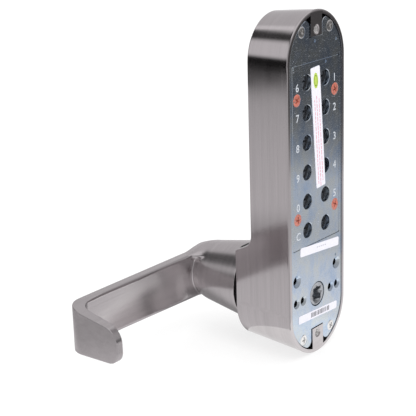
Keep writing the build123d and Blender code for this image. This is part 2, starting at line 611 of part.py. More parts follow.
# Lever handle: the arm and return as one plan outline, trimmed by a side outline and a front outline
with BuildPart() as lever_handle:
    with BuildSketch(Plane.XY.offset(ARM_BOTTOM_NECK)) as plan:
        with BuildLine():
            Polyline(
                (0, -NECK_FRONT),
                (TIP_X, -NECK_FRONT),
                (TIP_X, -TIP_BACK),
                (TIP_X - TIP_THICKNESS, -TIP_BACK),
                (TIP_X - CORNER_THICKNESS, -ARM_BACK),
                (0, -ARM_BACK),
                close=True,
            )
        make_face()
        fillet(plan.vertices().sort_by_distance((TIP_X, -NECK_FRONT))[0], OUTER_CORNER)
        fillet(plan.vertices().sort_by_distance((TIP_X - CORNER_THICKNESS, -ARM_BACK))[0], INNER_CORNER)
    extrude(amount=ARM_TOP - ARM_BOTTOM_NECK)
    with BuildSketch(Plane.YZ) as side:
        with BuildLine():
            Polyline(
                (-NECK_FRONT, ARM_BOTTOM_NECK),
                (-NECK_FRONT, ARM_TOP),
                (-TIP_BACK, TIP_TOP),
                (-TIP_BACK, ARM_BOTTOM),
                (-ARM_BACK + INNER_CORNER, ARM_BOTTOM),
                (-ARM_BACK + INNER_CORNER, ARM_BOTTOM_NECK),
                close=True,
            )
        make_face()
        fillet(side.vertices().sort_by_distance((-TIP_BACK, TIP_TOP))[0], TIP_ROUND_TOP)
        fillet(side.vertices().sort_by_distance((-TIP_BACK, ARM_BOTTOM))[0], TIP_ROUND_BOTTOM)
    extrude(amount=TIP_X, mode=Mode.INTERSECT)
    with BuildSketch(Plane.XZ.offset(TIP_BACK)) as front:
        with BuildLine():
            Polyline(
                (0, ARM_TOP),
                (TIP_X, ARM_TOP),
                (TIP_X, ARM_BOTTOM),
                (ARM_TAPER_END, ARM_BOTTOM),
                (0, ARM_BOTTOM_NECK),
                close=True,
            )
        make_face()
    extrude(amount=NECK_FRONT - TIP_BACK, mode=Mode.INTERSECT)
    fillet(lever_handle.edges().filter_by_position(Axis.X, BEYOND, 2 * TIP_X), LEVER_EDGE)
    with BuildSketch(Plane.XY) as neck:
        with BuildLine():
            neck_front_radius = NECK_RADIUS - NECK_TAPER * (NECK_FRONT - NECK_BACK)
            Polyline(
                (0, -NECK_BACK),
                (NECK_RADIUS, -NECK_BACK),
                (neck_front_radius, -NECK_FRONT),
                (0, -NECK_FRONT),
                close=True,
            )
        make_face()
        fillet(neck.vertices().sort_by_distance((NECK_RADIUS, -NECK_BACK))[0], NECK_RIM)
        fillet(neck.vertices().sort_by_distance((neck_front_radius, -NECK_FRONT))[0], NECK_DOME)
    revolve(axis=Axis.Y)
    with Locations((0, -NECK_FRONT, 0)):
        Cylinder(CYLINDER_RADIUS + SEAT_FIT, NECK_FRONT - CYLINDER_BACK, rotation=(-90, 0, 0),
                 align=ALONG_DEPTH, mode=Mode.SUBTRACT)
    with Locations((0, -NECK_BACK, 0)):
        Cylinder(SHAFT_RADIUS + SEAT_FIT, SHAFT_FRONT + SEAT_FIT - NECK_BACK, rotation=(90, 0, 0),
                 align=ALONG_DEPTH, mode=Mode.SUBTRACT)
        Cylinder(SHAFT_BORE_RADIUS, NECK_FRONT - NECK_BACK, rotation=(90, 0, 0),
                 align=ALONG_DEPTH, mode=Mode.SUBTRACT)
    with Locations((0, -SET_SCREW_DEPTH, 0)):
        Cylinder(SET_SCREW_RADIUS + SEAT_FIT, NECK_RADIUS, rotation=(180, 0, 0),
                 align=ALONG_DEPTH, mode=Mode.SUBTRACT)
lever_handle.part.label = "lever_handle"
export_step(lever_handle.part, "parts/lever_handle.step")

# Set screw under the neck, bearing on the shaft
with BuildPart() as lever_set_screw:
    with Locations((0, -SET_SCREW_DEPTH, -SHAFT_RADIUS)):
        Cylinder(SET_SCREW_RADIUS, SET_SCREW_LENGTH, rotation=(180, 0, 0), align=ALONG_DEPTH)
    with BuildSketch(Plane(origin=(0, -SET_SCREW_DEPTH, -SHAFT_RADIUS - SET_SCREW_LENGTH), z_dir=(0, 0, 1))):
        RegularPolygon(SET_SCREW_RADIUS / 2, 6)
    extrude(amount=SET_SCREW_LENGTH / 3, mode=Mode.SUBTRACT)
lever_set_screw.part.label = "lever_set_screw"
export_step(lever_set_screw.part, "parts/lever_set_screw.step")
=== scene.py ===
"""Looks of a push-button door lock with a lever handle: its fine meshes, finishes, stage and camera."""

from __future__ import annotations

import json
import logging
import math
from dataclasses import dataclass, field
from enum import Enum

import bmesh
import bpy
import numpy as np
from mathutils import Matrix, Vector


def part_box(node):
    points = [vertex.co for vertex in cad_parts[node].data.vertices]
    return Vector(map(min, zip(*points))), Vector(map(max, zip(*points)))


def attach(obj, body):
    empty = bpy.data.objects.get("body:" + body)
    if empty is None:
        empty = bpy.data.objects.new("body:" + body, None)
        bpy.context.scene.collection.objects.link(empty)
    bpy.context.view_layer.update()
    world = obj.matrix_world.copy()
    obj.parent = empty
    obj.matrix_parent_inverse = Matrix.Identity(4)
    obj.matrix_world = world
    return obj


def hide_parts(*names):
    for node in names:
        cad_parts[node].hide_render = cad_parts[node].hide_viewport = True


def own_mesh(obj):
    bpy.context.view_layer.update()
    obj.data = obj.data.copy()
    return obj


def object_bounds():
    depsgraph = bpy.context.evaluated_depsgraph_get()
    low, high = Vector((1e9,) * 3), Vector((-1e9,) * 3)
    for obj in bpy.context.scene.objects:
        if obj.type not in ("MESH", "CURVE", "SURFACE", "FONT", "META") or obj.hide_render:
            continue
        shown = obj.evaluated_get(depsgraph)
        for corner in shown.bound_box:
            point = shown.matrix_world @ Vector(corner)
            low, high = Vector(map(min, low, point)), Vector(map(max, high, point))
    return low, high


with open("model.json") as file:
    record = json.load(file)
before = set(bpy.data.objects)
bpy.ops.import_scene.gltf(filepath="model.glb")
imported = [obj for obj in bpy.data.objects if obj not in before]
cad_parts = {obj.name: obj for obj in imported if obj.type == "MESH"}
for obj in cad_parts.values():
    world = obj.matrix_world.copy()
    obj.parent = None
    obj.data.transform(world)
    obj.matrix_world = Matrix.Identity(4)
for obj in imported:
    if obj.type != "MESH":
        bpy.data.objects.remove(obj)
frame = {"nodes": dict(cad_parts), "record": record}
CAD_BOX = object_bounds()
LOG = logging.getLogger("lock")
Array = np.ndarray
FIXING_HEIGHTS = (0.1633, -0.0257)
CAP_RADIUS = 0.0053
KEY_NAMES = {-1: ("1", "2", "3", "4", "5", "plain"), 1: ("6", "7", "8", "9", "0", "c")}


class Facing(Enum):
    """The side of the lock that flat marks are read from."""

    DOOR = -1
    FRONT = 1


# ---------------------------------------------------------------------------------------------- meshes


def grid_quads(rows: int, columns: int, closed: bool = False) -> Array:
    """Give the corner indices of the quads of a grid of points stored row by row.

    Args:
        rows: Number of rows of points.
        columns: Number of points in a row.
        closed: True if the last column joins the first.

    Returns:
        One line of four indices for each quad.
    """
    row = np.arange(rows - 1)[:, None]
    column = np.arange(columns if closed else columns - 1)[None, :]
    after = (column + 1) % columns
    near, far = row * columns, (row + 1) * columns
    corners = (near + column, near + after, far + after, far + column)
    return np.stack(np.broadcast_arrays(*corners), axis=-1).reshape(-1, 4)


def world_points(x: Array, depth: Array, z: Array) -> Array:
    """Turn x, depth in front of the door and z into points, with depth running along -Y."""
    return np.stack(np.broadcast_arrays(x, -np.asarray(depth), z), axis=-1)


@dataclass
class Surface:
    """Points and faces that become one piece, gathered from several grids."""

    points: list[Array] = field(default_factory=list)
    faces: list[Array] = field(default_factory=list)
    marks: list[Array] = field(default_factory=list)
    shine: list[Array] = field(default_factory=list)
    count: int = 0

    def add(self, points: Array, faces: Array, marks: Array | None = None, flip: bool = False,
            shine: Array | None = None) -> None:
        """Add one grid.

        Args:
            points: Points, in metres, in any grid shape with three numbers each.
            faces: Corner indices into those points.
            marks: A number triple for each point that a finish reads, such as a distance along the brushing.
            flip: True to turn the faces over.
            shine: How far each point is polished, from 0 to 1.
        """
        flat = points.reshape(-1, 3)
        if shine is not None:
            self.shine.append(shine.ravel())
        self.points.append(flat)
        self.faces.append((faces[:, ::-1] if flip else faces) + self.count)
        self.marks.append(flat if marks is None else marks.reshape(-1, 3))
        self.count += len(flat)

    def piece(self, name: str, sharp: float = 35.0, outward: bool = True) -> bpy.types.Object:
        """Weld the grids into one smooth mesh object.

        Args:
            name: Name of the piece.
            sharp: Angle in degrees above which an edge stays crisp.
            outward: True to turn every face outwards after welding.

        Returns:
            The new object, at the origin.
        """
        mesh = bpy.data.meshes.new(name)
        faces = [face for group in self.faces for face in group.tolist()]
        mesh.from_pydata(np.concatenate(self.points).tolist(), [], faces)
        corners = np.zeros(len(mesh.loops), dtype=np.int32)
        mesh.loops.foreach_get("vertex_index", corners)
        layer = mesh.attributes.new("grain", "FLOAT_VECTOR", "CORNER")
        layer.data.foreach_set("vector", np.concatenate(self.marks)[corners].astype(np.float32).ravel())
        if self.shine:
            bright = mesh.attributes.new("shine", "FLOAT", "POINT")
            bright.data.foreach_set("value", np.concatenate(self.shine).astype(np.float32))
        weld(mesh, outward)
        smooth(mesh, sharp)
        piece = bpy.data.objects.new(name, mesh)
        bpy.context.scene.collection.objects.link(piece)
        return piece


def weld(mesh: bpy.types.Mesh, outward: bool, distance: float = 1e-6) -> None:
    """Merge points that coincide and, if asked, turn the faces outwards."""
    work = bmesh.new()
    work.from_mesh(mesh)
    bmesh.ops.remove_doubles(work, verts=work.verts, dist=distance)
    if outward:
        bmesh.ops.recalc_face_normals(work, faces=work.faces)
    work.to_mesh(mesh)
    work.free()


def smooth(mesh: bpy.types.Mesh, sharp: float) -> None:
    """Shade a mesh smooth, but for edges sharper than an angle in degrees."""
    mesh.polygons.foreach_set("use_smooth", np.ones(len(mesh.polygons), bool))
    mesh.set_sharp_from_angle(angle=math.radians(sharp))
    mesh.update()


def turned(profile: Array, centre: tuple[float, float], around: int = 96) -> tuple[Array, Array, Array]:
    """Turn a profile about an axis along the depth.

    Each profile point (radius r, depth d) gives a ring: x = cx + r cos t, z = cz + r sin t, t from 0 to 2 pi.

    Args:
        profile: Radius and depth of each point.
        centre: X and z of the axis.
        around: Number of points in each ring.

    Returns:
        Points, faces and grain marks (angle round the axis, radius, depth).
    """
    turn = np.linspace(0, 2 * math.pi, around, endpoint=False)
    radius, depth = profile[:, 0][:, None], profile[:, 1][:, None]
    points = world_points(centre[0] + radius * np.cos(turn), depth, centre[1] + radius * np.sin(turn))
    marks = np.stack(np.broadcast_arrays(np.cos(turn) * 0.002, radius, depth), axis=-1)
    return points, grid_quads(len(profile), around, closed=True), marks


def carve(piece: bpy.types.Object, tool: bpy.types.Object, operation: str) -> None:
    """Join a tool to a piece or cut it out of the piece, and drop the tool."""
    modifier = piece.modifiers.new("carve", "BOOLEAN")
    modifier.operation = operation
    modifier.solver = "EXACT"
    modifier.object = tool
    done = bpy.data.meshes.new_from_object(piece.evaluated_get(bpy.context.evaluated_depsgraph_get()))
    piece.modifiers.clear()
    piece.data = done
    bpy.data.objects.remove(tool)


def settle(piece: bpy.types.Object, body: str, finish: bpy.types.Material, slot: str,
           *nodes: str) -> bpy.types.Object:
    """Give a piece its finish, its body and the CAD nodes that it stands for.

    Args:
        piece: The finished piece.
        body: The body it rides on.
        finish: Its material.
        slot: Not used.
        nodes: CAD nodes that it replaces.

    Returns:
        The piece.
    """
    piece.data.materials.clear()
    piece.data.materials.append(finish)
    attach(piece, body)
    if nodes:
        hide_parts(*nodes)
    LOG.info("%s: %d faces on %s", piece.name, len(piece.data.polygons), body)
    return piece


def merged_copy(node: str, name: str, sharp: float = 30.0) -> bpy.types.Object:
    """Copy a CAD node, weld its loose triangles and shade it smooth between crisp edges."""
    mesh = frame["nodes"][node].data.copy()
    mesh.name = name
    weld(mesh, outward=False, distance=2e-6)
    smooth(mesh, sharp)
    piece = bpy.data.objects.new(name, mesh)
    bpy.context.scene.collection.objects.link(piece)
    return piece


# ------------------------------------------------------------------------------------------- finishes


@dataclass
class Nodes:
    """A material's node tree, with short ways to add and join nodes."""

    material: bpy.types.Material
    tree: bpy.types.NodeTree = field(init=False)
    shader: bpy.types.Node = field(init=False)

    def __post_init__(self) -> None:
        """Start the tree with one shader and its output."""
        self.material.use_nodes = True
        self.tree = self.material.node_tree
        self.tree.nodes.clear()
        output = self.tree.nodes.new("ShaderNodeOutputMaterial")
        self.shader = self.tree.nodes.new("ShaderNodeBsdfPrincipled")
        self.tree.links.new(self.shader.outputs[0], output.inputs[0])

    def add(self, kind: str, **inputs: object) -> bpy.types.Node:
        """Add a node and set its inputs by name, with _ for a space; a socket is linked, a value is set."""
        node = self.tree.nodes.new("ShaderNode" + kind)
        for key, value in inputs.items():
            self.join(value, node.inputs[key.replace("_", " ")])
        return node

    def join(self, value: object, socket: bpy.types.NodeSocket) -> None:
        """Link a socket to an input, or set the input's value."""
        if isinstance(value, bpy.types.NodeSocket):
            self.tree.links.new(value, socket)
        else:
            socket.default_value = value

    def place(self, scale: tuple[float, float, float], attribute: str = "") -> bpy.types.NodeSocket:
        """Give the Object coordinates, or a piece's own attribute, scaled along each axis."""
        if attribute:
            source = self.add("Attribute")
            source.attribute_name = attribute
            vector = source.outputs["Vector"]
        else:
            vector = self.add("TexCoord").outputs["Object"]
        return self.add("Mapping", Vector=vector, Scale=scale).outputs[0]

    def noise(self, vector: bpy.types.NodeSocket, scale: float, detail: float = 3.0,
              rough: float = 0.5) -> bpy.types.NodeSocket:
        """Give a noise pattern's value at a place."""
        return self.add("TexNoise", Vector=vector, Scale=scale, Detail=detail, Roughness=rough).outputs[0]

    def ramp(self, value: bpy.types.NodeSocket,
             *stops: tuple[float, tuple[float, float, float]]) -> bpy.types.NodeSocket:
        """Turn a value into a colour that runs through the stops."""
        node = self.add("ValToRGB", Fac=value)
        ramp = node.color_ramp
        while len(ramp.elements) < len(stops):
            ramp.elements.new(0.5)
        for element, (position, colour) in zip(ramp.elements, stops):
            element.position = position
            element.color = (*colour, 1)
        return node.outputs[0]

    def range(self, value: bpy.types.NodeSocket, low: float, high: float) -> bpy.types.NodeSocket:
        """Carry a value between 0 and 1 over to the range from low to high."""
        return self.add("MapRange", Value=value, To_Min=low, To_Max=high).outputs[0]

    def bump(self, height: bpy.types.NodeSocket, strength: object, distance: float) -> None:
        """Raise the surface's shading by a height pattern."""
        node = self.add("Bump", Height=height, Strength=strength, Distance=distance)
        self.join(node.outputs[0], self.shader.inputs["Normal"])

    def dress(self, **inputs: object) -> bpy.types.Material:
        """Set or link the shader's inputs and give back the material."""
        for key, value in inputs.items():
            self.join(value, self.shader.inputs[key.replace("_", " ")])
        return self.material


@dataclass(frozen=True)
class BrushedMetal:
    """Satin metal whose fine scratches run one way.

    The scratches are a noise pattern drawn out along the grain: slow along it and fast across it. It shifts the
    roughness, the colour and the height of the surface.
    """

    name: str
    colour: tuple[float, float, float]
    roughness: float = 0.3
    spread: float = 0.08
    grain: tuple[float, float, float] = (0.02, 1.0, 1.0)
    attribute: str = ""
    fineness: float = 9000.0
    relief: float = 0.12
    anisotropy: float = 0.0
    turn: float = 0.0
    shade: float = 0.12
    polished: bool = False

    def build(self) -> bpy.types.Material:
        """Make the material."""
        nodes = Nodes(bpy.data.materials.new(self.name))
        along = nodes.place(self.grain, self.attribute)
        lines = nodes.noise(along, self.fineness, 4.0, 0.65)
        broad = nodes.noise(along, self.fineness / 9, 2.0)
        cloud = nodes.noise(nodes.place((1, 1, 1)), 60.0, 2.0)
        dark = tuple(c * (1 - self.shade) for c in self.colour)
        light = tuple(min(1.0, c * (1 + self.shade * 0.6)) for c in self.colour)
        mixed = nodes.add("Math")
        mixed.operation = "MULTIPLY_ADD"
        nodes.join(lines, mixed.inputs[0])
        mixed.inputs[1].default_value = 0.6
        nodes.join(nodes.range(broad, 0.0, 0.4), mixed.inputs[2])
        strength: object = self.relief
        if self.polished:
            shine = nodes.add("Attribute")
            shine.attribute_name = "shine"
            strength = nodes.range(shine.outputs["Fac"], self.relief, self.relief * 0.2)
        nodes.bump(lines, strength, 0.00002)
        soft = nodes.add("Math")
        soft.operation = "ADD"
        low, high = self.roughness - self.spread, self.roughness + self.spread
        nodes.join(nodes.range(mixed.outputs[0], low, high), soft.inputs[0])
        nodes.join(nodes.range(cloud, -0.03, 0.03), soft.inputs[1])
        rough = soft.outputs[0]
        if self.polished:
            less = nodes.add("Math")
            less.operation = "MULTIPLY"
            nodes.join(rough, less.inputs[0])
            nodes.join(nodes.range(shine.outputs["Fac"], 1.0, 0.35), less.inputs[1])
            rough = less.outputs[0]
        return nodes.dress(
            Base_Color=nodes.ramp(mixed.outputs[0], (0.3, dark), (0.7, light)),
            Metallic=1.0,
            Roughness=rough,
            Anisotropic=self.anisotropy,
            Anisotropic_Rotation=self.turn,
        )


@dataclass(frozen=True)
class PassivatedZinc:
    """Zinc-plated steel with a blue-white passivation.

    Large soft clouds of noise shift it between blue, grey and a faint straw tint, fine noise makes a pickled grain,
    and thin drawn-out noise gives rolling marks along the plate.
    """

    name: str
    blue: tuple[float, float, float] = (0.42, 0.53, 0.70)
    grey: tuple[float, float, float] = (0.54, 0.62, 0.73)
    straw: tuple[float, float, float] = (0.62, 0.66, 0.67)
    bare: tuple[float, float, float] = (0.88, 0.92, 0.96)
    roughness: float = 0.17

    def build(self) -> bpy.types.Material:
        """Make the material."""
        nodes = Nodes(bpy.data.materials.new(self.name))
        bent = nodes.add("TexNoise", Vector=nodes.place((1, 1, 1)), Scale=45.0, Detail=2.0)
        warped = nodes.add("VectorMath")
        warped.operation = "MULTIPLY_ADD"
        nodes.join(bent.outputs["Color"], warped.inputs[0])
        warped.inputs[1].default_value = (0.02, 0.02, 0.02)
        nodes.join(nodes.place((1, 1, 0.6)), warped.inputs[2])
        clouds = nodes.noise(warped.outputs[0], 85.0, 5.0, 0.62)
        grain = nodes.noise(nodes.place((1, 1, 1)), 1400.0, 3.0, 0.7)
        rolled = nodes.noise(nodes.place((1, 1, 0.06)), 1800.0, 3.0, 0.6)
        blend = nodes.add("Math")
        blend.operation = "MULTIPLY_ADD"
        nodes.join(grain, blend.inputs[0])
        blend.inputs[1].default_value = 0.22
        nodes.join(nodes.range(clouds, -0.11, 0.89), blend.inputs[2])
        specks = nodes.noise(nodes.place((1, 1, 0.35)), 2600.0, 2.0, 0.5)
        scratches = nodes.noise(nodes.place((0.12, 1, 1)), 3100.0, 2.0, 0.5)
        worn = nodes.add("Math")
        worn.operation = "MAXIMUM"
        nodes.join(nodes.range(specks, -1.60, 1.02), worn.inputs[0])
        nodes.join(nodes.range(scratches, -1.62, 1.05), worn.inputs[1])
        kept = nodes.add("Math")
        kept.operation = "MAXIMUM"
        nodes.join(worn.outputs[0], kept.inputs[0])
        kept.inputs[1].default_value = 0.0
        lit = nodes.add("Math")
        lit.operation = "ADD"
        nodes.join(blend.outputs[0], lit.inputs[0])
        nodes.join(kept.outputs[0], lit.inputs[1])
        colour = nodes.ramp(lit.outputs[0], (0.30, self.blue), (0.47, self.grey), (0.60, self.straw),
                            (0.72, self.grey), (0.95, self.bare))
        sheen = nodes.add("Math")
        sheen.operation = "ADD"
        nodes.join(nodes.range(clouds, self.roughness - 0.05, self.roughness + 0.08), sheen.inputs[0])
        nodes.join(nodes.range(rolled, -0.05, 0.05), sheen.inputs[1])
        dull = nodes.add("Math")
        dull.operation = "ADD"
        nodes.join(sheen.outputs[0], dull.inputs[0])
        nodes.join(kept.outputs[0], dull.inputs[1])
        height = nodes.add("Math")
        height.operation = "ADD"
        nodes.join(grain, height.inputs[0])
        nodes.join(rolled, height.inputs[1])
        nodes.bump(height.outputs[0], 0.18, 0.00003)
        return nodes.dress(Base_Color=colour, Metallic=1.0, Roughness=dull.outputs[0])


@dataclass(frozen=True)
class Coated:
    """A painted, moulded or printed surface with a faint mottle and a fine skin."""

    name: str
    colour: tuple[float, float, float]
    roughness: float = 0.5
    mottle: float = 0.12
    scale: float = 400.0
    relief: float = 0.1
    coat: float = 0.0
    worn: tuple[float, float, float] | None = None

    def build(self) -> bpy.types.Material:
        """Make the material; where it is worn, the paint breaks up in patches to bare metal."""
        nodes = Nodes(bpy.data.materials.new(self.name))
        skin = nodes.noise(nodes.place((1, 1, 1)), self.scale, 4.0, 0.6)
        fine = nodes.noise(nodes.place((1, 1, 1)), self.scale * 8, 2.0)
        dark = tuple(c * (1 - self.mottle) for c in self.colour)
        light = tuple(min(1.0, c * (1 + self.mottle)) for c in self.colour)
        colour = nodes.ramp(skin, (0.3, dark), (0.7, light))
        metal: object = 0.0
        if self.worn:
            chips = nodes.noise(nodes.place((1, 1, 1)), 900.0, 3.0, 0.7)
            patch = nodes.ramp(chips, (0.56, (0, 0, 0)), (0.62, (1, 1, 1)))
            mix = nodes.add("Mix")
            mix.data_type = "RGBA"
            nodes.join(patch, mix.inputs[0])
            nodes.join(colour, mix.inputs[6])
            mix.inputs[7].default_value = (*self.worn, 1)
            colour, metal = mix.outputs[2], patch
        nodes.bump(fine, self.relief, 0.00003)
        return nodes.dress(
            Base_Color=colour,
            Metallic=metal,
            Roughness=nodes.range(skin, self.roughness - 0.08, self.roughness + 0.08),
            Coat_Weight=self.coat,
        )


class Finishes:
    """Every finish of the lock, made once."""

    def __init__(self) -> None:
        """Build the materials."""
        nickel = (0.585, 0.552, 0.560)
        self.case_nickel = BrushedMetal(
            "case_nickel", nickel, 0.12, 0.035, (0.012, 1, 1), "grain", 2600, 0.045, polished=True).build()
        self.lever_nickel = BrushedMetal(
            "lever_nickel", nickel, 0.23, 0.06, (0.02, 1, 1), "grain", 3000, 0.10, polished=True).build()
        self.button_steel = BrushedMetal(
            "button_steel", (0.66, 0.66, 0.67), 0.25, 0.07, (1, 1, 1), "grain", 9000, 0.15).build()
        self.back_zinc = PassivatedZinc("back_zinc").build()
        self.code_zinc = PassivatedZinc("code_zinc", roughness=0.15).build()
        self.red_paint = Coated(
            "red_paint", (0.56, 0.15, 0.10), 0.42, 0.3, 700, 0.25, 0.3, (0.55, 0.5, 0.46)).build()
        self.bright_zinc = BrushedMetal(
            "bright_zinc", (0.86, 0.85, 0.84), 0.20, 0.08, (1, 1, 1), "", 2500, 0.25, 0, 0, 0.2).build()
        self.paper = Coated("label_paper", (0.86, 0.85, 0.93), 0.6, 0.03, 500, 0.15).build()
        self.pink_ink = Coated("pink_ink", (0.80, 0.42, 0.50), 0.6, 0.2, 3000, 0.05).build()
        self.lime_ink = Coated("lime_ink", (0.55, 0.72, 0.10), 0.45, 0.15, 2000, 0.05, 0.2).build()
        self.moss_ink = Coated("moss_ink", (0.16, 0.30, 0.03), 0.45, 0.15, 2000, 0.05, 0.2).build()
        self.grey_ink = Coated("grey_ink", (0.45, 0.45, 0.50), 0.6, 0.2, 3000, 0.05).build()
        self.stamped = Coated("stamped_zinc", (0.62, 0.65, 0.70), 0.35, 0.25, 2500, 0.1).build()
        self.black_ink = Coated("black_ink", (0.03, 0.03, 0.035), 0.5, 0.3, 3000, 0.05).build()
        # Near-black collar between the case and the lever neck: it is nylon, and its black is partly painted shade,
        # standing in for the shadow in that gap.
        self.nylon = Coated("black_nylon", (0.012, 0.012, 0.013), 0.42, 0.3, 900, 0.2).build()
        self.cast_zinc = BrushedMetal(
            "cast_zinc", (0.36, 0.37, 0.39), 0.5, 0.1, (1, 1, 1), "", 900, 0.4, 0, 0, 0.2).build()
        # Painted shade: the tumblers' steel is far darker than the other steels. It stands in for the shade in the code
        # holes that they sit in.
        self.tumbler_steel = BrushedMetal(
            "tumbler_steel", (0.30, 0.31, 0.33), 0.28, 0.1, (1, 1, 1), "", 2500, 0.3, 0, 0, 0.3).build()
        self.plain_steel = BrushedMetal(
            "plain_steel", (0.45, 0.45, 0.46), 0.33, 0.1, (1, 0.1, 1), "", 4000, 0.2).build()
        self.hub_steel = BrushedMetal(
            "hub_steel", (0.52, 0.54, 0.57), 0.36, 0.12, (1, 1, 1), "", 1500, 0.5, 0, 0, 0.25).build()
        self.spring_wire = BrushedMetal(
            "spring_wire", (0.42, 0.42, 0.43), 0.3, 0.08, (1, 1, 1), "", 3000, 0.2).build()
        self.brass = BrushedMetal(
            "cylinder_brass", (0.72, 0.62, 0.42), 0.27, 0.08, (1, 0.2, 1), "", 4000, 0.2).build()

    def by_slot(self, slot: str) -> bpy.types.Material:
        """Give the finish of one of the record's material slots."""
        return {
            "satin_nickel": self.case_nickel,
            "button_steel": self.button_steel,
            "tumbler_steel": self.tumbler_steel,
            "spring_steel": self.spring_wire,
            "zinc_back_plate": self.back_zinc,
            "zinc_code_plate": self.code_zinc,
            "red_screw": self.red_paint,
            "plated_screw": self.bright_zinc,
            "label_paper": self.paper,
            "zinc_casting": self.cast_zinc,
            "black_nylon": self.nylon,
            "plain_steel": self.plain_steel,
            "hub_steel": self.hub_steel,
            "cylinder_brass": self.brass,
        }[slot]


# ------------------------------------------------------------------------------------------------ case


@dataclass
class Case:
    """The case: an upright rounded-end shell, shallow behind the keypad and deep behind the lever."""

    finishes: Finishes
    wall: float = 0.0025
    keypad_depth: float = 0.0304
    draft: float = math.radians(5)
    edge: float = 0.0009
    rim_edge: float = 0.0007
    shelf_front: float = 0.0277
    shelf_slope: float = math.radians(25)
    hollow: float = 0.009
    crest: float = 0.0008
    tab_width: float = 0.0117
    tab_ends: tuple[float, float] = (0.1597, -0.0217)
    fixing_radius: float = 0.0025
    fixing_lead: float = 0.0005
    fixing_depth: float = 0.020
    button_gap: float = 0.0003

    def __post_init__(self) -> None:
        """Take the outer sizes from the CAD case."""
        low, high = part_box("front_housing")
        self.radius = (high.x - low.x) / 2
        self.top = high.z - self.radius
        self.bottom = low.z + self.radius
        self.block_depth = -low.y

    def front_depth(self, z: Array) -> Array:
        """Give the depth of the front at a height.

        From the lever block's flat front it turns over a small crest, falls back along the sloping shelf, and turns up
        through a hollow of constant radius into the flat keypad face.
        """
        slope, turn = math.tan(self.shelf_slope), (math.pi / 2 - self.shelf_slope) / 2
        bend = self.shelf_front + (self.block_depth - self.keypad_depth) * slope
        hollow_end = bend + self.hollow * math.tan(turn)
        hollow_start = bend - self.hollow * math.tan(turn) * math.sin(self.shelf_slope)
        crest_start = self.shelf_front - self.crest * math.tan(turn)
        crest_end = self.shelf_front + self.crest * math.tan(turn) * math.sin(self.shelf_slope)
        hollow_arc = self.keypad_depth + self.hollow - np.sqrt(np.maximum(self.hollow**2 - (hollow_end - z) ** 2, 0))
        crest_arc = self.block_depth - self.crest + np.sqrt(np.maximum(self.crest**2 - (z - crest_start) ** 2, 0))
        shelf = self.block_depth - (z - self.shelf_front) / slope
        return np.select([z <= crest_start, z <= crest_end, z <= hollow_start, z <= hollow_end],
                         [self.block_depth, crest_arc, shelf, hollow_arc], self.keypad_depth)

    def outline(self) -> tuple[Array, Array, Array, Array, Array]:
        """Give the outline's x, z, outward direction in x and z, and distance round it."""
        sides = np.unique(np.concatenate([
            np.linspace(self.bottom, self.top, 44)[1:-1],
            np.linspace(self.shelf_front - 0.001, self.shelf_front + 0.0006, 14),
            np.linspace(self.shelf_front, self.shelf_front + 0.0125, 40),
        ]))
        turn = np.linspace(0, math.pi, 65)
        x = np.concatenate([np.full(len(sides), 1.0), np.cos(turn), np.full(len(sides), -1.0), -np.cos(turn)])
        lift = np.concatenate([0 * sides, np.sin(turn), 0 * sides, -np.sin(turn)])
        centre = np.concatenate([sides, 0 * turn + self.top, sides[::-1], 0 * turn + self.bottom])
        z = centre + self.radius * lift
        step = np.hypot(np.diff(x * self.radius, prepend=x[0] * self.radius), np.diff(z, prepend=z[0]))
        return x * self.radius, z, x, lift, np.cumsum(step)

    def shell(self) -> Surface:
        """Carry the outline from the rim over the side and the rounded front edge to the middle line, and back inside.

        At a depth d the outline is drawn in by d times the tangent of the draft. The front edge is a quarter circle,
        and the front runs straight in to the line between the two end centres at the depth of that height.
        """
        x, z, out_x, out_z, along = self.outline()
        front = self.front_depth(z)
        slant = math.tan(self.draft)
        quarter = np.linspace(0, math.pi / 2, 7)
        rows: list[tuple[Array, Array]] = [(self.wall + 0 * x, 0 * x)]
        rows += [(0 * x + self.rim_edge * (1 - math.sin(q)), 0 * x + self.rim_edge * (1 - math.cos(q)))
                 for q in quarter[::2]]
        start = front - self.edge
        rows += [(slant * (self.rim_edge + (start - self.rim_edge) * t), self.rim_edge + (start - self.rim_edge) * t)
                 for t in (0.012, 0.03, *np.linspace(0.08, 0.92, 11), 0.94, 0.97, 1.0)]
        brow = slant * start
        rows += [(brow + self.edge * (1 - math.cos(q)), start + self.edge * math.sin(q)) for q in quarter[1:]]
        inner = brow + self.edge
        rows += [(inner + (self.radius - inner) * t, front) for t in np.linspace(0, 1, 9)[1:]]
        side, face = rows[:-8], rows[-9:]
        outer = self.sweep(side, x, z, out_x, out_z, along)
        flat = self.sweep(face, x, z, out_x, out_z, along)
        upright = np.stack([flat[0][..., 2], flat[0][..., 0], flat[0][..., 1]], axis=-1)
        inset, depth = np.array([row[0] for row in side]), np.array([row[1] for row in side])
        back = front - self.wall
        inside: list[tuple[Array, Array]] = [(self.wall + slant * back * t, back * t) for t in np.linspace(0, 1, 6)]
        lip = self.wall + slant * back
        inside += [(lip + (self.radius - lip) * t, back) for t in (0.3, 0.65, 1.0)]
        shell = Surface()
        shell.add(*outer, shine=self.polish(inset, depth, front, self.edge))
        shell.add(flat[0], flat[1], upright, shine=np.zeros(flat[0].shape[:2]))
        cavity = self.sweep(inside, x, z, out_x, out_z, along)
        shell.add(*cavity, flip=True, shine=np.zeros(cavity[0].shape[:2]))
        return shell

    @staticmethod
    def polish(inset: Array, depth: Array, front: Array, edge: float) -> Array:
        """Give the polish of the shell: full on the rim's edge and on the rounded front edge, none elsewhere."""
        near_rim = np.exp(-((depth / 0.0004) ** 2)) * np.exp(-((inset / 0.0004) ** 2))
        near_front = np.exp(-(((depth - front + edge * 0.4) / (edge * 0.8)) ** 2)) * (inset < edge * 5)
        return np.clip(near_rim + near_front, 0, 1)

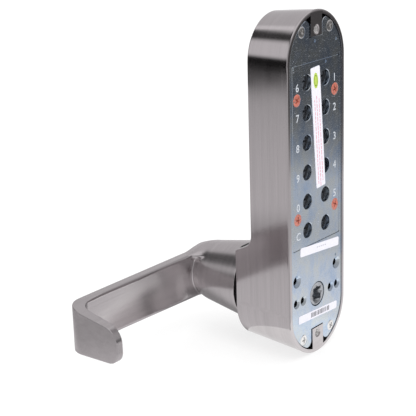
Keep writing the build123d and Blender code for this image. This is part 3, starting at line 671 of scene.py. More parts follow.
    @staticmethod
    def sweep(rows: list[tuple[Array, Array]], x: Array, z: Array, out_x: Array, out_z: Array,
              along: Array) -> tuple[Array, Array, Array]:
        """Turn rows of (inset, depth) round the outline into points, faces and grain marks along the outline."""
        inset, depth = np.array([row[0] for row in rows]), np.array([row[1] for row in rows])
        points = world_points(x - inset * out_x, depth, z - inset * out_z)
        marks = np.stack(np.broadcast_arrays(along, depth, inset), axis=-1)
        return points, grid_quads(len(rows), len(x), closed=True), marks

    def tabs(self) -> bpy.types.Object:
        """Make the two tabs that carry the fixing holes, each a bar from the rim's plane to the front wall."""
        tabs = Surface()
        half = self.tab_width / 2
        reach = self.radius - self.wall * 0.8
        for low, high in ((self.tab_ends[0], self.top + reach), (self.bottom - reach, self.tab_ends[1])):
            x, z = np.array([-half, half, half, -half]), np.array([low, low, high, high])
            deep = self.keypad_depth - self.wall * 0.5
            pull = np.array([0.0, math.tan(self.draft) * deep])[:, None]
            at_bottom = np.where((z == low) & (low < self.bottom), -1.0, 0.0)
            outer = np.where((z == high) & (high > self.top), 1.0, at_bottom)
            rows = world_points(x[None, :], np.array([0.0, deep])[:, None], z[None, :] - pull * outer[None, :])
            sides = grid_quads(2, 4, closed=True)
            tabs.add(rows, np.concatenate([sides, [[0, 1, 2, 3], [7, 6, 5, 4]]]))
        return tabs.piece("tabs")

    def cutters(self) -> bpy.types.Object:
        """Make the bars that cut the button holes and the tapped fixing holes."""
        cuts = Surface()
        for name in (name for names in KEY_NAMES.values() for name in names):
            low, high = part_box(f"button_{name}")
            cap = CAP_RADIUS + self.button_gap
            profile = np.array([(0, 0.024), (cap, 0.024), (cap, self.keypad_depth - 0.0002),
                                (cap + 0.0003, self.keypad_depth + 0.0001), (cap + 0.0003, 0.034), (0, 0.034)])
            cuts.add(*turned(profile, ((low.x + high.x) / 2, (low.z + high.z) / 2), 72))
        hole, lead, end = self.fixing_radius, self.fixing_lead, self.fixing_depth
        profile = np.array([(0, -0.002), (hole + lead, -0.002), (hole + lead, 0), (hole, lead), (hole, end),
                            (0, end + hole / 2)])
        for z in FIXING_HEIGHTS:
            cuts.add(*turned(profile, (0, z), 48))
        return cuts.piece("cutters")

    def build(self) -> None:
        """Make the case and carve its holes."""
        case = self.shell().piece("case_shell")
        carve(case, self.tabs(), "UNION")
        carve(case, self.cutters(), "DIFFERENCE")
        smooth(case.data, 30)
        settle(case, "housing", self.finishes.case_nickel, "satin_nickel", "front_housing")


# ----------------------------------------------------------------------------------------------- lever


def round_max(a: Array, b: Array, radius: float) -> Array:
    """Meet two distance fields in a rounded outer edge: a quarter circle of the radius where both are near zero."""
    return np.minimum(np.maximum(a, b), -radius) + np.hypot(np.maximum(a + radius, 0), np.maximum(b + radius, 0))


def fillet_min(a: Array, b: Array, radius: Array) -> Array:
    """Join two distance fields with a rounded inner corner of the radius."""
    return np.maximum(np.minimum(a, b), radius) - np.hypot(np.maximum(radius - a, 0), np.maximum(radius - b, 0))


def ease(value: Array, start: float, end: float) -> Array:
    """Run smoothly from 0 at start to 1 at end, as 3t^2 - 2t^3."""
    t = np.clip((value - start) / (end - start), 0, 1)
    return t * t * (3 - 2 * t)


class Stack:
    """Three broadcastable coordinate arrays that index like one stacked array."""

    def __init__(self, *parts: Array) -> None:
        """Keep the three arrays."""
        self.parts = parts

    def __getitem__(self, key: tuple[object, int]) -> Array:
        """Give the coordinate that the last index names."""
        return self.parts[key[1]]


@dataclass
class Lever:
    """The lever: a conical neck on the axis, a flat arm with a scooped back, and a return towards the door.

    Its surface is where a signed distance, worked out from the plan, side and front outlines, is zero. Lengths here
    are in millimetres, with x to the right, d the depth in front of the door and z up.
    """

    finishes: Finishes
    step: float = 0.55
    neck_back: float = 46.0
    front: float = 92.0
    neck_radius: float = 25.43
    neck_taper: float = 0.174
    dome: tuple[float, float] = (7.8, 15.0)
    arm_back: float = 85.0
    top: float = 14.3
    bottom: float = -14.5
    neck_bottom: float = -16.4
    taper_end: float = 84.0
    tip: float = 128.0
    tip_back: float = 51.0
    tip_thickness: float = 5.4
    corner_thickness: float = 7.4
    outer_corner: float = 12.5
    inner_corner: float = 7.0
    top_fall: float = 0.194
    end_rounds: tuple[float, float] = (9.0, 7.0)
    edge: float = 0.7
    scoop: float = 1.9
    scoop_edge: float = 2.1

    def arm(self, x: Array, d: Array, z: Array) -> Array:
        """Give the distance to the arm and its return.

        The plan is a rounded outer corner minus a rounded inner corner. The side has a flat bottom, a top that falls
        towards the door along the return, and an end with a large and a small round. The back of the arm meets its
        top and bottom in wide rounds, and between them it is scooped by the sine of the height.
        """
        outer = self.corner(x - self.tip, d - self.front, self.outer_corner)
        inner_x = self.tip - self.tip_thickness - (self.corner_thickness - self.tip_thickness) * (
            (d - self.tip_back) / (self.arm_back - self.tip_back))
        low = self.neck_bottom + (self.bottom - self.neck_bottom) * np.clip(x / self.taper_end, 0, 1)
        high = self.top - self.top_fall * np.maximum(self.front - d, 0) * ease(x, 100, 124)
        across = np.clip((z - low) / (high - low), 0, 1)
        dish = self.scoop * np.sin(math.pi * across) * ease(x, 22, 34) * ease(-x, -121, -108)
        inner = -self.corner(x - inner_x, d - self.arm_back - dish, self.inner_corner)
        ends = round_max(self.tip_back - d, z - high, self.end_rounds[0])
        ends = round_max(ends, low - z, self.end_rounds[1])
        on_arm = ease(-x, -118, -106)
        edge = self.edge + (self.scoop_edge - self.edge) * on_arm
        near_neck = self.edge + 2.5 * ease(-x, -20, -4)
        shape = round_max(round_max(outer, ends, near_neck), -x - 3, 5.0)
        return np.maximum(round_max(inner, ends, edge), shape)

    @staticmethod
    def corner(a: Array, b: Array, radius: float) -> Array:
        """Give the distance to the quarter plane a < 0, b < 0 with a rounded corner."""
        return np.hypot(np.maximum(a + radius, 0), np.maximum(b + radius, 0)) + np.minimum(
            np.maximum(a + radius, b + radius), 0) - radius

    def neck(self, x: Array, d: Array, z: Array) -> Array:
        """Give the distance to the neck: a cone with a small rim and a front that is domed by a quarter ellipse."""
        from_axis = np.hypot(x, z)
        radius = self.neck_radius - self.neck_taper * (d - self.neck_back)
        side = (from_axis - radius) / math.hypot(1, self.neck_taper)
        across, along = self.dome
        a, b = side / across + 1, (d - self.front) / along + 1
        size = math.sqrt(across * along)
        shape = size * (np.hypot(np.maximum(a, 0), np.maximum(b, 0)) + np.minimum(np.maximum(a, b), 0) - 1)
        return round_max(shape, self.neck_back - d, 0.5)

    def distance(self, points: Array | Stack) -> Array:
        """Give the distance of points to the whole lever, with its bores cut out."""
        x, d, z = points[..., 0], points[..., 1], points[..., 2]
        blend = 1.5 + 8.5 * np.maximum(ease(d, 85.5, 90.0), ease(z, 8.5, 14.0))
        solid = fillet_min(self.neck(x, d, z), self.arm(x, d, z), blend)
        from_axis = np.hypot(x, z)
        shaft_bore = np.maximum(from_axis - 10.6, d - 64.1)
        cylinder_bore = np.maximum(from_axis - 9.4, 65.6 - d)
        screw_bore = np.maximum(np.hypot(x, d - 56.0) - 3.0, z)
        for bore in (shaft_bore, cylinder_bore, screw_bore):
            solid = round_max(solid, -bore, 0.4)
        return np.maximum(solid, d - self.front)

    def surface(self) -> tuple[Array, Array]:
        """Find the lever's surface on a cubic grid.

        Each cell that the surface crosses gets one point, moved onto the surface by a few Newton steps along the
        distance's slope, and each grid edge that it crosses gets the quad of the four cells round it.

        Returns:
            Points (x, d, z) in millimetres and quads.
        """
        low, high = np.array([-27.0, 43.5, -27.0]), np.array([130.5, 94.5, 27.0])
        axes = [np.arange(a, b, self.step) for a, b in zip(low, high)]
        value = self.distance(Stack(*np.meshgrid(*axes, indexing="ij", sparse=True)))
        inside = value < 0
        shape = inside.shape
        filled = sum(inside[i:shape[0] - 1 + i, j:shape[1] - 1 + j, k:shape[2] - 1 + k].astype(np.int8)
                     for i in (0, 1) for j in (0, 1) for k in (0, 1))
        active = (filled > 0) & (filled < 8)
        number = np.full(active.shape, -1)
        number[active] = np.arange(active.sum())
        points = np.argwhere(active) * self.step + low + self.step / 2
        quads = []
        for axis in range(3):
            before = np.take(inside, range(shape[axis] - 1), axis)
            after = np.take(inside, range(1, shape[axis]), axis)
            place = np.argwhere(before != after)
            others = [a for a in range(3) if a != axis]
            ring = []
            for shift in ((1, 1), (0, 1), (0, 0), (1, 0)):
                cell = place.copy()
                cell[:, others[0]] -= shift[0]
                cell[:, others[1]] -= shift[1]
                ring.append(number[cell[:, 0], cell[:, 1], cell[:, 2]])
            quads.append(np.stack(ring, axis=-1))
        for _ in range(8):
            slope = self.slope(points)
            length = np.maximum((slope**2).sum(1), 0.05)
            move = np.clip(self.distance(points) / length, -self.step, self.step)
            points -= slope * move[:, None]
        return points, np.concatenate(quads)

    def slope(self, points: Array, reach: float = 0.02) -> Array:
        """Give the distance's slope at points, from differences each way along each axis."""
        return np.stack([(self.distance(points + side) - self.distance(points - side)) / (2 * reach)
                         for side in np.eye(3) * reach], axis=-1)

    def shine(self, points: Array, reach: float = 0.35) -> Array:
        """Give how far each point is polished: fully where the surface bends tightly, which the buffing wheel meets."""
        around = sum(self.distance(points + side) + self.distance(points - side) for side in np.eye(3) * reach)
        bend = np.abs(around - 6 * self.distance(points)) / reach**2
        return np.clip(bend * 1.6 - 0.25, 0, 1)

    def grain(self, points: Array) -> Array:
        """Mark the brushing: round the axis on the neck, and lengthwise on the arm and the return."""
        x, d, z = points.T
        on_neck = self.neck(x, d, z) < 0.4
        path = np.where(d > 84, x, self.tip + (self.front - d))
        round_neck = np.stack([20 * np.arctan2(z, x), d, 0 * x], axis=-1)
        on_arm = np.stack([path, z, d * 0.5], axis=-1)
        return np.where(on_neck[:, None], round_neck, on_arm) / 1000

    def build(self) -> None:
        """Make the lever, and shade it by the exact slope of its surface."""
        points, quads = self.surface()
        metres = np.stack([points[:, 0], -points[:, 1], points[:, 2]], axis=-1) / 1000
        lever = Surface()
        lever.add(metres, quads, self.grain(points), shine=self.shine(points))
        piece = lever.piece("lever_casting", 180, outward=True)
        place = np.zeros(len(piece.data.vertices) * 3)
        piece.data.vertices.foreach_get("co", place)
        place = place.reshape(-1, 3) * 1000
        slope = self.slope(np.stack([place[:, 0], -place[:, 1], place[:, 2]], axis=-1))
        normal = slope / np.maximum(np.linalg.norm(slope, axis=1), 1e-9)[:, None]
        piece.data.normals_split_custom_set_from_vertices(np.stack([normal[:, 0], -normal[:, 1], normal[:, 2]], -1))
        settle(piece, "lever", self.finishes.lever_nickel, "satin_nickel", "lever_handle")


# ------------------------------------------------------------------------------------- plates and marks


def lettering(name: str, text: str, size: float, place: tuple[float, float, float], facing: Facing,
              tilt: float = 0.0, thickness: float = 0.00004) -> bpy.types.Object:
    """Make flat lettering with a little thickness, centred on a point.

    Args:
        name: Name of the piece.
        text: What it says.
        size: Height of the letters' body, in metres.
        place: X, depth in front of the door and z of its centre.
        facing: The side it is read from.
        tilt: Turn in degrees, anticlockwise as it is read.
        thickness: Half of its thickness.

    Returns:
        The piece, at the origin.
    """
    curve = bpy.data.curves.new(name, "FONT")
    curve.body = text
    curve.size = size
    curve.align_x = "CENTER"
    curve.align_y = "CENTER"
    curve.extrude = thickness
    curve.offset = size * 0.006
    holder = bpy.data.objects.new(name, curve)
    bpy.context.scene.collection.objects.link(holder)
    mesh = bpy.data.meshes.new_from_object(holder.evaluated_get(bpy.context.evaluated_depsgraph_get()))
    bpy.data.objects.remove(holder)
    x, depth, z = place
    side = facing.value
    turn = math.radians(tilt)
    across = Vector((side * math.cos(turn), 0, math.sin(turn)))
    up = Vector((-side * math.sin(turn), 0, math.cos(turn)))
    out = across.cross(up)
    basis = Matrix((across, up, out)).transposed().to_4x4()
    mesh.transform(Matrix.Translation((x, -depth, z)) @ basis)
    weld(mesh, outward=True)
    piece = bpy.data.objects.new(name, mesh)
    bpy.context.scene.collection.objects.link(piece)
    return piece


@dataclass
class BackMarks:
    """The digits stamped beside the code holes, and the generic marks printed on the three paper labels."""

    finishes: Finishes
    digit_size: float = 0.0066
    digit_x: float = 0.0196
    digit_drop: float = 0.0018
    digit_relief: float = 0.00006

    def digits(self) -> None:
        """Stamp a digit outside each code hole but the plain one."""
        depth = -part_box("code_plate")[1].y
        for side, names in KEY_NAMES.items():
            for name in names:
                if name == "plain":
                    continue
                low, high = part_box(f"tumbler_{name}")
                place = (side * self.digit_x, depth, (low.z + high.z) / 2 - self.digit_drop)
                digit = lettering(f"stamped_{name}", name.upper(), self.digit_size, place, Facing.DOOR,
                                  thickness=self.digit_relief)
                settle(digit, "housing", self.finishes.stamped, "zinc_code_plate")

    def printed(self, name: str, node: str, tilt: float, strokes: list[tuple[float, float, float, float]],
                ink: bpy.types.Material) -> None:
        """Print short bars on a label.

        Args:
            name: Name of the piece.
            node: The label that it lies on.
            tilt: The label's turn in degrees, anticlockwise with x to the right.
            strokes: For each bar, its centre along and across the label and its width and height, in metres.
            ink: Finish of the ink.
        """
        low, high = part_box(node)
        middle = (low + high) / 2
        turn = math.radians(tilt)
        marks = Surface()
        for x, z, width, height in strokes:
            corners = np.array([(-1, -1), (1, -1), (1, 1), (-1, 1)]) * (width / 2, height / 2) + (x, z)
            flat_x = middle.x + corners[:, 0] * math.cos(turn) - corners[:, 1] * math.sin(turn)
            flat_z = middle.z + corners[:, 0] * math.sin(turn) + corners[:, 1] * math.cos(turn)
            rows = world_points(flat_x[None, :], -high.y - np.array([0.00001, 0.00004])[:, None], flat_z[None, :])
            sides = grid_quads(2, 4, closed=True)
            marks.add(rows, np.concatenate([sides, [[0, 1, 2, 3], [7, 6, 5, 4]]]))
        piece = marks.piece(name)
        settle(piece, "housing", ink, "label_paper")

    def oval(self, name: str, centre: tuple[float, float], half: tuple[float, float], tilt: float, lift: float,
             ink: bpy.types.Material) -> None:
        """Print a filled oval: rings of an ellipse drawn in to its centre, x = a s cos t, z = b s sin t."""
        depth = -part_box("long_label")[1].y
        turn = np.linspace(0, 2 * math.pi, 64, endpoint=False)
        tilted = math.radians(tilt)
        size = np.array([1.0, 0.999, 0.5, 0.0])[:, None]
        along, up = half[0] * size * np.cos(turn), half[1] * size * np.sin(turn)
        x = centre[0] + along * math.cos(tilted) - up * math.sin(tilted)
        z = centre[1] + along * math.sin(tilted) + up * math.cos(tilted)
        layers = np.array([0.0, lift, lift, lift])[:, None]
        disc = Surface()
        disc.add(world_points(x, depth - layers, z), grid_quads(4, 64, closed=True))
        disc.add(world_points(np.stack([x[0], x[3]]), depth, np.stack([z[0], z[3]])),
                 grid_quads(2, 64, closed=True))
        settle(disc.piece(name), "housing", ink, "label_paper")

    def build(self) -> None:
        """Stamp the digits and print the labels."""
        self.digits()
        tilt = -4.5
        low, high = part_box("long_label")
        middle = (low + high) / 2
        turn = math.radians(tilt)

        def on_strip(x: float, z: float) -> tuple[float, float]:
            """Give the place of a point of the strip's own frame."""
            return (middle.x + x * math.cos(turn) - z * math.sin(turn),
                    middle.z + x * math.sin(turn) + z * math.cos(turn))

        self.oval("lime_oval", on_strip(0, 0.0288), (0.0024, 0.0047), tilt, 0.00004, self.finishes.lime_ink)
        self.oval("dark_oval", on_strip(0, 0.0288), (0.0017, 0.0035), tilt, 0.00006, self.finishes.moss_ink)
        self.oval("lime_centre", on_strip(0, 0.0288), (0.0013, 0.0029), tilt, 0.00008, self.finishes.lime_ink)
        rng = np.random.default_rng(5)
        rows = []
        for column in (-0.0024, 0.0000, 0.0022):
            z = 0.0195 - 0.002 * abs(column) / 0.0024
            while z > -0.034:
                length = float(rng.uniform(0.0010, 0.0030))
                rows.append((column, z - length / 2, 0.0007, length))
                z -= length + 0.0006
        self.printed("strip_print", "long_label", tilt, rows, self.finishes.pink_ink)
        bars = [(-0.012 + 0.0016 * i + float(rng.uniform(0, 0.0004)), 0.0, float(rng.uniform(0.0004, 0.0009)), 0.0030)
                for i in range(13)]
        self.printed("lower_print", "lower_label", 3.2, bars, self.finishes.black_ink)
        ticks = [(-0.006 + 0.0022 * i, 0.0004, 0.0013, 0.0005) for i in range(5)]
        self.printed("upper_print", "upper_label", 5.0, ticks, self.finishes.grey_ink)


@dataclass
class BackPlate:
    """The zinc-plated back plate, its spare holes opened by wide countersinks."""

    finishes: Finishes
    face: float = 0.0004
    holes: tuple[tuple[float, float, float, float], ...] = (
        (-0.0221, 0.0, 0.0031, 0.0013), (-0.0149, 0.0, 0.0031, 0.0013), (0.0149, 0.0, 0.0031, 0.0013),
        (0.0221, 0.0, 0.0031, 0.0013), (-0.0215, 0.0141, 0.0040, 0.0021), (0.0215, 0.0141, 0.0040, 0.0021))

    def build(self) -> None:
        """Cut a cone into a copy of the plate at each hole: its x, z, radius at the face and depth."""
        plate = merged_copy("back_plate", "back_sheet")
        cones = Surface()
        for x, z, radius, deep in self.holes:
            slope = (radius - 0.0018) / deep
            start, end = self.face - 0.001, self.face + deep
            profile = np.array([(0.0, start), (radius + slope * 0.001, start), (0.0018, end), (0.0, end)])
            cones.add(*turned(profile, (x, z), 64))
        carve(plate, cones.piece("countersinks"), "DIFFERENCE")
        smooth(plate.data, 12)
        settle(plate, "housing", self.finishes.back_zinc, "zinc_back_plate", "back_plate")


@dataclass
class Screws:
    """Countersunk screws with a slightly raised head and a cross recess, one set for each plate."""

    finishes: Finishes
    face: float = 0.0004
    shank: float = 0.0018
    raise_: float = 0.00025

    def one(self, centre: tuple[float, float], radius: float, length: float, turn: float) -> bpy.types.Object:
        """Make one screw.

        The head's top is a shallow dome, z = h (1 - (r/R)^2), its underside a cone down to the shank, and the recess
        is two crossed bars that taper to a point.
        """
        steps = np.linspace(1, 0, 7)
        top = [(radius * 0.93 * t, self.face - self.raise_ * (1 - t * t)) for t in steps]
        end = self.face + length
        head = [(0, end), (self.shank * 0.6, end), (self.shank, end - 0.001), (self.shank, self.face + 0.0015),
                (radius * 0.99, self.face + 0.00025), (radius, self.face + 0.0001)]
        surface = Surface()
        surface.add(*turned(np.array(head + top), centre, 48))
        screw = surface.piece("screw", 40)
        for spin in (turn, turn + math.pi / 2):
            wide, thin = radius * 0.56, radius * 0.13
            outline = np.array([(-wide, -thin), (wide, -thin), (wide, thin), (-wide, thin)])
            levels = np.array([(self.face - 0.001, 1.0), (self.face, 1.0), (self.face + 0.0011, 0.45)])
            flat = outline[None, :, :] * np.stack([levels[:, 1], 0.6 + 0.4 * levels[:, 1]], -1)[:, None, :]
            x = centre[0] + flat[..., 0] * math.cos(spin) - flat[..., 1] * math.sin(spin)
            z = centre[1] + flat[..., 0] * math.sin(spin) + flat[..., 1] * math.cos(spin)
            rows = world_points(x, levels[:, 0][:, None], z)
            sides = grid_quads(3, 4, closed=True)
            cross = Surface()
            cross.add(rows, np.concatenate([sides, [[0, 1, 2, 3], [11, 10, 9, 8]]]))
            carve(screw, cross.piece("cross"), "DIFFERENCE")
        return screw

    def set_of(self, node: str, name: str, radius: float, length: float, finish: bpy.types.Material,
               slot: str) -> None:
        """Make one set of four screws at the corners of the CAD set's box and join them into one piece."""
        low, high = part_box(node)
        screws = []
        for i, (x, z) in enumerate(((low.x, low.z), (high.x, low.z), (low.x, high.z), (high.x, high.z))):
            centre = (x + math.copysign(radius, -x), z + math.copysign(radius, (low.z + high.z) / 2 - z))
            if node == "back_plate_screws":
                centre = (math.copysign(0.0149 if z < 0 else 0.0146, x), centre[1])
            screws.append(self.one(centre, radius, length, 0.5 + 1.1 * i))
        joined = bmesh.new()
        for screw in screws:
            joined.from_mesh(screw.data)
            bpy.data.objects.remove(screw)
        mesh = bpy.data.meshes.new(name)
        joined.to_mesh(mesh)
        joined.free()
        smooth(mesh, 35)
        piece = bpy.data.objects.new(name, mesh)
        bpy.context.scene.collection.objects.link(piece)
        settle(piece, "housing", finish, slot, node)

    def build(self) -> None:
        """Make both sets."""
        self.set_of("code_plate_screws", "red_screws", 0.0037, 0.009, self.finishes.red_paint, "red_screw")
        self.set_of("back_plate_screws", "plated_screws", 0.0034, 0.012, self.finishes.bright_zinc, "plated_screw")


@dataclass
class Threads:
    """The tapped threads in the case's two fixing holes."""

    finishes: Finishes
    radius: float = 0.0025
    depth: float = 0.0195
    pitch: float = 0.0008
    height: float = 0.00035

    def build(self) -> None:
        """Line each hole with a ridged sleeve.

        Its radius at a turn t and a depth d is the hole's less the ridge, a triangle wave of d/pitch - t/2pi.
        """
        turn = np.linspace(0, 2 * math.pi, 40, endpoint=False)
        depth = np.linspace(0.0007, self.depth, 140)[:, None]
        wave = np.abs(((depth / self.pitch - turn / (2 * math.pi)) % 1) - 0.5) * 2
        inner = self.radius - self.height * (1 - wave) - 0.00001
        for name, z in zip(("top_thread", "bottom_thread"), FIXING_HEIGHTS):
            sleeve = Surface()
            outer = np.full((2, 1), self.radius + 0.0002)
            ends = depth[[0, -1]]
            sleeve.add(world_points(inner * np.cos(turn), depth, z + inner * np.sin(turn)),
                       grid_quads(len(depth), 40, closed=True))
            sleeve.add(world_points(outer * np.cos(turn), ends, z + outer * np.sin(turn)),
                       grid_quads(2, 40, closed=True))
            for row, end in ((0, 0), (-1, 1)):
                ring = np.stack([inner[row], np.full(40, outer[0, 0])])
                sleeve.add(world_points(ring * np.cos(turn), ends[end], z + ring * np.sin(turn)),
                           grid_quads(2, 40, closed=True))
            settle(sleeve.piece(name, 30), "housing", self.finishes.bright_zinc, "satin_nickel")


@dataclass
class Keypad:
    """The twelve round buttons on the front, each with its mark filled in black."""

    finishes: Finishes
    radius: float = CAP_RADIUS
    edge: float = 0.0007
    crown: float = 0.00025
    digit_size: float = 0.0062

    def build(self) -> None:
        """Turn each button from one profile, and lay its mark on its crown.

        The cap's face is a shallow crown, its rim a quarter circle, and behind it stand the flange and the stem.
        """
        for names in KEY_NAMES.values():
            for name in names:
                low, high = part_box(f"button_{name}")
                top, stem = -low.y, -high.y
                centre = ((low.x + high.x) / 2, (low.z + high.z) / 2)
                face = top - self.crown
                quarter = np.linspace(0, math.pi / 2, 6)
                profile = [(0.0, stem), (0.0022, stem), (0.0025, stem + 0.0003), (0.0025, 0.0255), (0.0065, 0.0255),
                           (0.0065, 0.0276), (self.radius, 0.0276), (self.radius, face - self.edge)]
                profile += [(self.radius - self.edge * (1 - math.cos(q)), face - self.edge * (1 - math.sin(q)))
                            for q in quarter[1:]]
                profile += [((self.radius - self.edge) * t, top - self.crown * t * t) for t in np.linspace(1, 0, 9)[1:]]
                button = Surface()
                points, quads, _ = turned(np.array(profile), centre, 64)
                flat = np.stack([points[..., 0], points[..., 2], points[..., 1]], -1)
                button.add(points, quads, flat)
                settle(button.piece(f"cap_{name}", 40), f"key_{name}", self.finishes.button_steel, "button_steel",
                       f"button_{name}")
                if name != "plain":
                    mark = lettering(f"cap_mark_{name}", name.upper(), self.digit_size,
                                     (centre[0], top - 0.00001, centre[1] - 0.0001), Facing.FRONT, 0, 0.00003)
                    settle(mark, f"key_{name}", self.finishes.black_ink, "button_steel")


@dataclass
class Springs:
    """The button springs and the slide's spring."""

    finishes: Finishes
    press_travel: float = 0.003
    slide_travel: float = 0.0031

    def fit(self, node: str) -> None:
        """Stand a welded copy, with a mesh of its own, in for a spring, riding on the housing."""
        spring = merged_copy(node, f"{node}_wire", 60)
        settle(spring, "housing", self.finishes.spring_wire, "spring_steel", node)
        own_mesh(spring)

    def build(self) -> None:
        """Fit every spring."""
        for name in (name for names in KEY_NAMES.values() for name in names):
            self.fit(f"button_spring_{name}")
        self.fit("slide_spring")


def dress_nodes(finishes: Finishes) -> None:
    """Give every CAD node the finish of its slot."""
    slots = {row["node"]: row["material_slot"] for row in frame["record"]["subparts"]}
    for name, node in frame["nodes"].items():
        node.data.materials.clear()
        node.data.materials.append(finishes.by_slot(slots[name]))


def smooth_copies(finishes: Finishes) -> None:
    """Stand smooth welded copies in for the round CAD nodes that show."""
    for node, name, body, finish, slot in (
        ("spindle_hub", "hub_ring", "hub", finishes.hub_steel, "hub_steel"),
        # The collar's near-black is partly painted shade of the gap between case and neck.
        ("lever_collar", "collar_ring", "housing", finishes.nylon, "black_nylon"),
        ("cylinder_body", "cylinder_sleeve", "lever", finishes.brass, "cylinder_brass"),
        ("cylinder_plug", "key_plug", "plug", finishes.brass, "cylinder_brass"),
    ):
        settle(merged_copy(node, name), body, finish, slot, node)


# ---------------------------------------------------------------------------------------------- studio


@dataclass(frozen=True)
class Panel:
    """A soft-edged panel of the studio: its directions and how brightly it glows."""

    azimuth: tuple[float, float]
    height: tuple[float, float]
    glow: float
    soft: float = 3.0


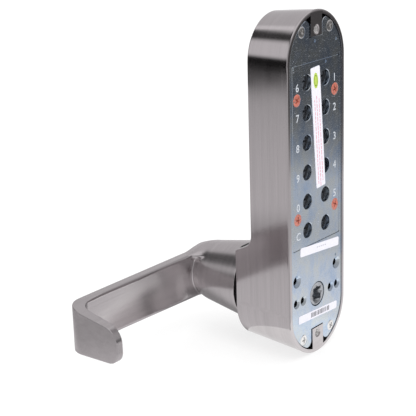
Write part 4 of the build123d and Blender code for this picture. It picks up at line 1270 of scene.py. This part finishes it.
@dataclass
class Studio:
    """A pale floor, a white world, a soft lamp, and the panels that the metal mirrors.

    Directions are in degrees: azimuth from +X towards +Y, and height above the horizon.
    """

    floor: float
    base: float = 0.45
    reach: float = 0.95
    centre: float = 0.07
    panels: tuple[Panel, ...] = (
        Panel((-360, 360), (50, 120), 0.80, 2),
        Panel((-130, -80), (45, 120), 0.86, 2),
        Panel((-165, -92), (-40, 75), 0.62, 4),
        Panel((-152, -138), (-40, 16), 0.84, 6),
        Panel((-60, -15), (12, 36), 0.74, 3),
        Panel((-94, -58), (-30, 14), 0.42, 4),
        Panel((-56, -15), (-40, 9), 0.01, 3),
        Panel((-92, -61), (19, 43), 0.09, 4),
        Panel((-80, -15), (39, 48), 0.05, 2),
        Panel((110, 180), (-40, 6), 0.085, 6),
    )

    def glow(self, azimuth: Array, height: Array) -> Array:
        """Lay the panels over the base level, each weighted by a smooth window over its directions."""
        level = np.full(np.broadcast_shapes(azimuth.shape, height.shape), self.base)
        for panel in self.panels:
            (left, right), (low, high), soft = panel.azimuth, panel.height, panel.soft
            weight = (ease(azimuth, left - soft, left + soft) * ease(-azimuth, -right - soft, -right + soft)
                      * ease(height, low - soft, low + soft) * ease(-height, -high - soft, -high + soft))
            level = level * (1 - weight) + panel.glow * weight
        return level

    def mirrored(self, name: str, points: Array, glow: Array) -> None:
        """Hang a card that only mirrors in gloss.

        Args:
            name: Name of the card.
            points: Its points, in rows.
            glow: The brightness at each point.
        """
        rows, columns = glow.shape
        mesh = bpy.data.meshes.new(name)
        mesh.from_pydata(points.reshape(-1, 3).tolist(), [], grid_quads(rows, columns).tolist())
        layer = mesh.attributes.new("glow", "FLOAT", "POINT")
        layer.data.foreach_set("value", glow.astype(np.float32).ravel())
        nodes = Nodes(bpy.data.materials.new(name))
        level = nodes.add("Attribute")
        level.attribute_name = "glow"
        nodes.dress(Base_Color=(0, 0, 0, 1), Roughness=1.0, Specular_IOR_Level=0.0, Emission_Color=(1, 0.985, 1, 1),
                    Emission_Strength=level.outputs["Fac"])
        mesh.materials.append(nodes.material)
        card = bpy.data.objects.new(name, mesh)
        bpy.context.scene.collection.objects.link(card)
        card.visible_camera = False
        card.visible_diffuse = False
        card.visible_shadow = False
        card.visible_transmission = False

    def dome(self) -> None:
        """Hang the dome of panels, x = c + R cos h cos a, y = R cos h sin a, z = c + R sin h."""
        azimuth = np.radians(np.linspace(-180, 180, 181))[None, :]
        height = np.radians(np.linspace(-9, 90, 100))[:, None]
        points = np.stack(np.broadcast_arrays(
            self.reach * np.cos(height) * np.cos(azimuth), self.reach * np.cos(height) * np.sin(azimuth),
            self.centre + self.reach * np.sin(height)), axis=-1)
        self.mirrored("panel_dome", points, self.glow(np.degrees(azimuth), np.degrees(height)))

    def floor_card(self) -> None:
        """Lay the card that sets the mirrored floor, just above it.

        Its brightness follows the distance from the axis. Each of three sectors has its own line of levels: the right,
        the side towards the door, and the front. The rest of the floor has a fourth.
        """
        azimuth = np.radians(np.linspace(-180, 180, 181))[None, :]
        reach = np.linspace(0.05, 0.96, 120)[:, None]
        points = np.stack(np.broadcast_arrays(
            reach * np.cos(azimuth), reach * np.sin(azimuth), self.floor + 0.002), axis=-1)
        degrees = np.degrees(azimuth)
        right = ease(degrees, -80, -66) * ease(-degrees, 0, 20)
        left = ease(degrees, 95, 115)
        front = ease(degrees, -170, -150) * ease(-degrees, 66, 80)

        def line(*levels: tuple[float, float]) -> Array:
            """Give the brightness at each distance."""
            at, level = np.array(levels).T
            return np.interp(reach, at, level)

        rest = line((0.0, 0.55), (0.3, 0.6), (0.96, 0.5))
        glow = rest + right * (line((0.05, 0.72), (0.19, 0.66), (0.23, 0.42), (0.28, 0.44), (0.34, 0.66), (0.60, 0.60),
                                    (0.80, 0.55), (0.845, 0.45), (0.865, 0.01), (0.96, 0.01)) - rest)
        glow = glow + left * (line((0.05, 0.95), (0.16, 0.80), (0.22, 0.56), (0.38, 0.66), (0.46, 0.36), (0.60, 0.16),
                                   (0.80, 0.09), (0.96, 0.085)) - rest)
        glow = glow + front * (line((0.05, 0.30), (0.18, 0.34), (0.40, 0.6), (0.96, 0.6)) - rest)
        self.mirrored("floor_card", points, glow * np.ones_like(azimuth))

    def build(self) -> None:
        """Set everything up."""
        mesh = bpy.data.meshes.new("floor")
        mesh.from_pydata([(x, y, self.floor) for x, y in ((-9, -9), (9, -9), (9, 9), (-9, 9))], [], [(0, 1, 2, 3)])
        floor = bpy.data.objects.new("floor", mesh)
        bpy.context.scene.collection.objects.link(floor)
        paper = Coated("floor_paper", (0.34, 0.34, 0.34), 0.8, 0.005, 3.0, 0.0).build()
        glow = paper.node_tree.nodes["Principled BSDF"].inputs
        glow["Emission Color"].default_value = (1, 1, 1, 1)
        glow["Emission Strength"].default_value = 0.68
        mesh.materials.append(paper)
        world = bpy.data.worlds.new("studio")
        bpy.context.scene.world = world
        world.use_nodes = True
        world.node_tree.nodes["Background"].inputs["Color"].default_value = (1, 1, 1, 1)
        world.node_tree.nodes["Background"].inputs["Strength"].default_value = 1.0
        lamp = bpy.data.lights.new("soft_lamp", "AREA")
        lamp.shape = "DISK"
        lamp.size = 1.2
        lamp.energy = 6
        hung = bpy.data.objects.new("soft_lamp", lamp)
        place = Vector((0.3, 0.5, 1.4))
        hung.matrix_world = Matrix.Translation(place) @ place.to_track_quat("Z", "Y").to_matrix().to_4x4()
        bpy.context.scene.collection.objects.link(hung)
        hung.visible_camera = False
        hung.visible_glossy = False
        self.dome()
        self.floor_card()
        bpy.context.scene.view_settings.view_transform = "Standard"


@dataclass(frozen=True)
class Viewpoint:
    """The camera: behind the lock, to its right and above it, looking at the back plate. Angles are in degrees."""

    place: tuple[float, float, float] = (0.61026, 0.40593, 0.28078)
    azimuth: float = 128.79
    elevation: float = 17.02
    roll: float = -1.78
    lens: float = 109.6

    def build(self) -> None:
        """Stand the camera up and make it the scene's."""
        azimuth, elevation, roll = (math.radians(angle) for angle in (self.azimuth, self.elevation, self.roll))
        flat = math.cos(elevation)
        back = Vector((math.sin(azimuth) * flat, -math.cos(azimuth) * flat, math.sin(elevation)))
        right = (-back).cross(Vector((0, 0, 1))).normalized()
        up = right.cross(-back)
        tilted_right = right * math.cos(roll) + up * math.sin(roll)
        tilted_up = up * math.cos(roll) - right * math.sin(roll)
        data = bpy.data.cameras.new("camera")
        data.lens = self.lens
        data.sensor_width = 36
        data.clip_start = 0.01
        data.clip_end = 50
        camera = bpy.data.objects.new("camera", data)
        turn = Matrix((tilted_right, tilted_up, back)).transposed()
        camera.matrix_world = Matrix.Translation(self.place) @ turn.to_4x4()
        bpy.context.scene.collection.objects.link(camera)
        bpy.context.scene.camera = camera


def main() -> None:
    """Build the lock, its studio and its camera."""
    logging.basicConfig(level=logging.INFO, format="%(name)s %(message)s")
    finishes = Finishes()
    Viewpoint().build()
    dress_nodes(finishes)
    smooth_copies(finishes)
    for part in (Case, Lever, Keypad, Springs, BackPlate, Screws, Threads, BackMarks):
        part(finishes).build()
    Studio(CAD_BOX[0].z).build()


if __name__ == "__main__":
    main()
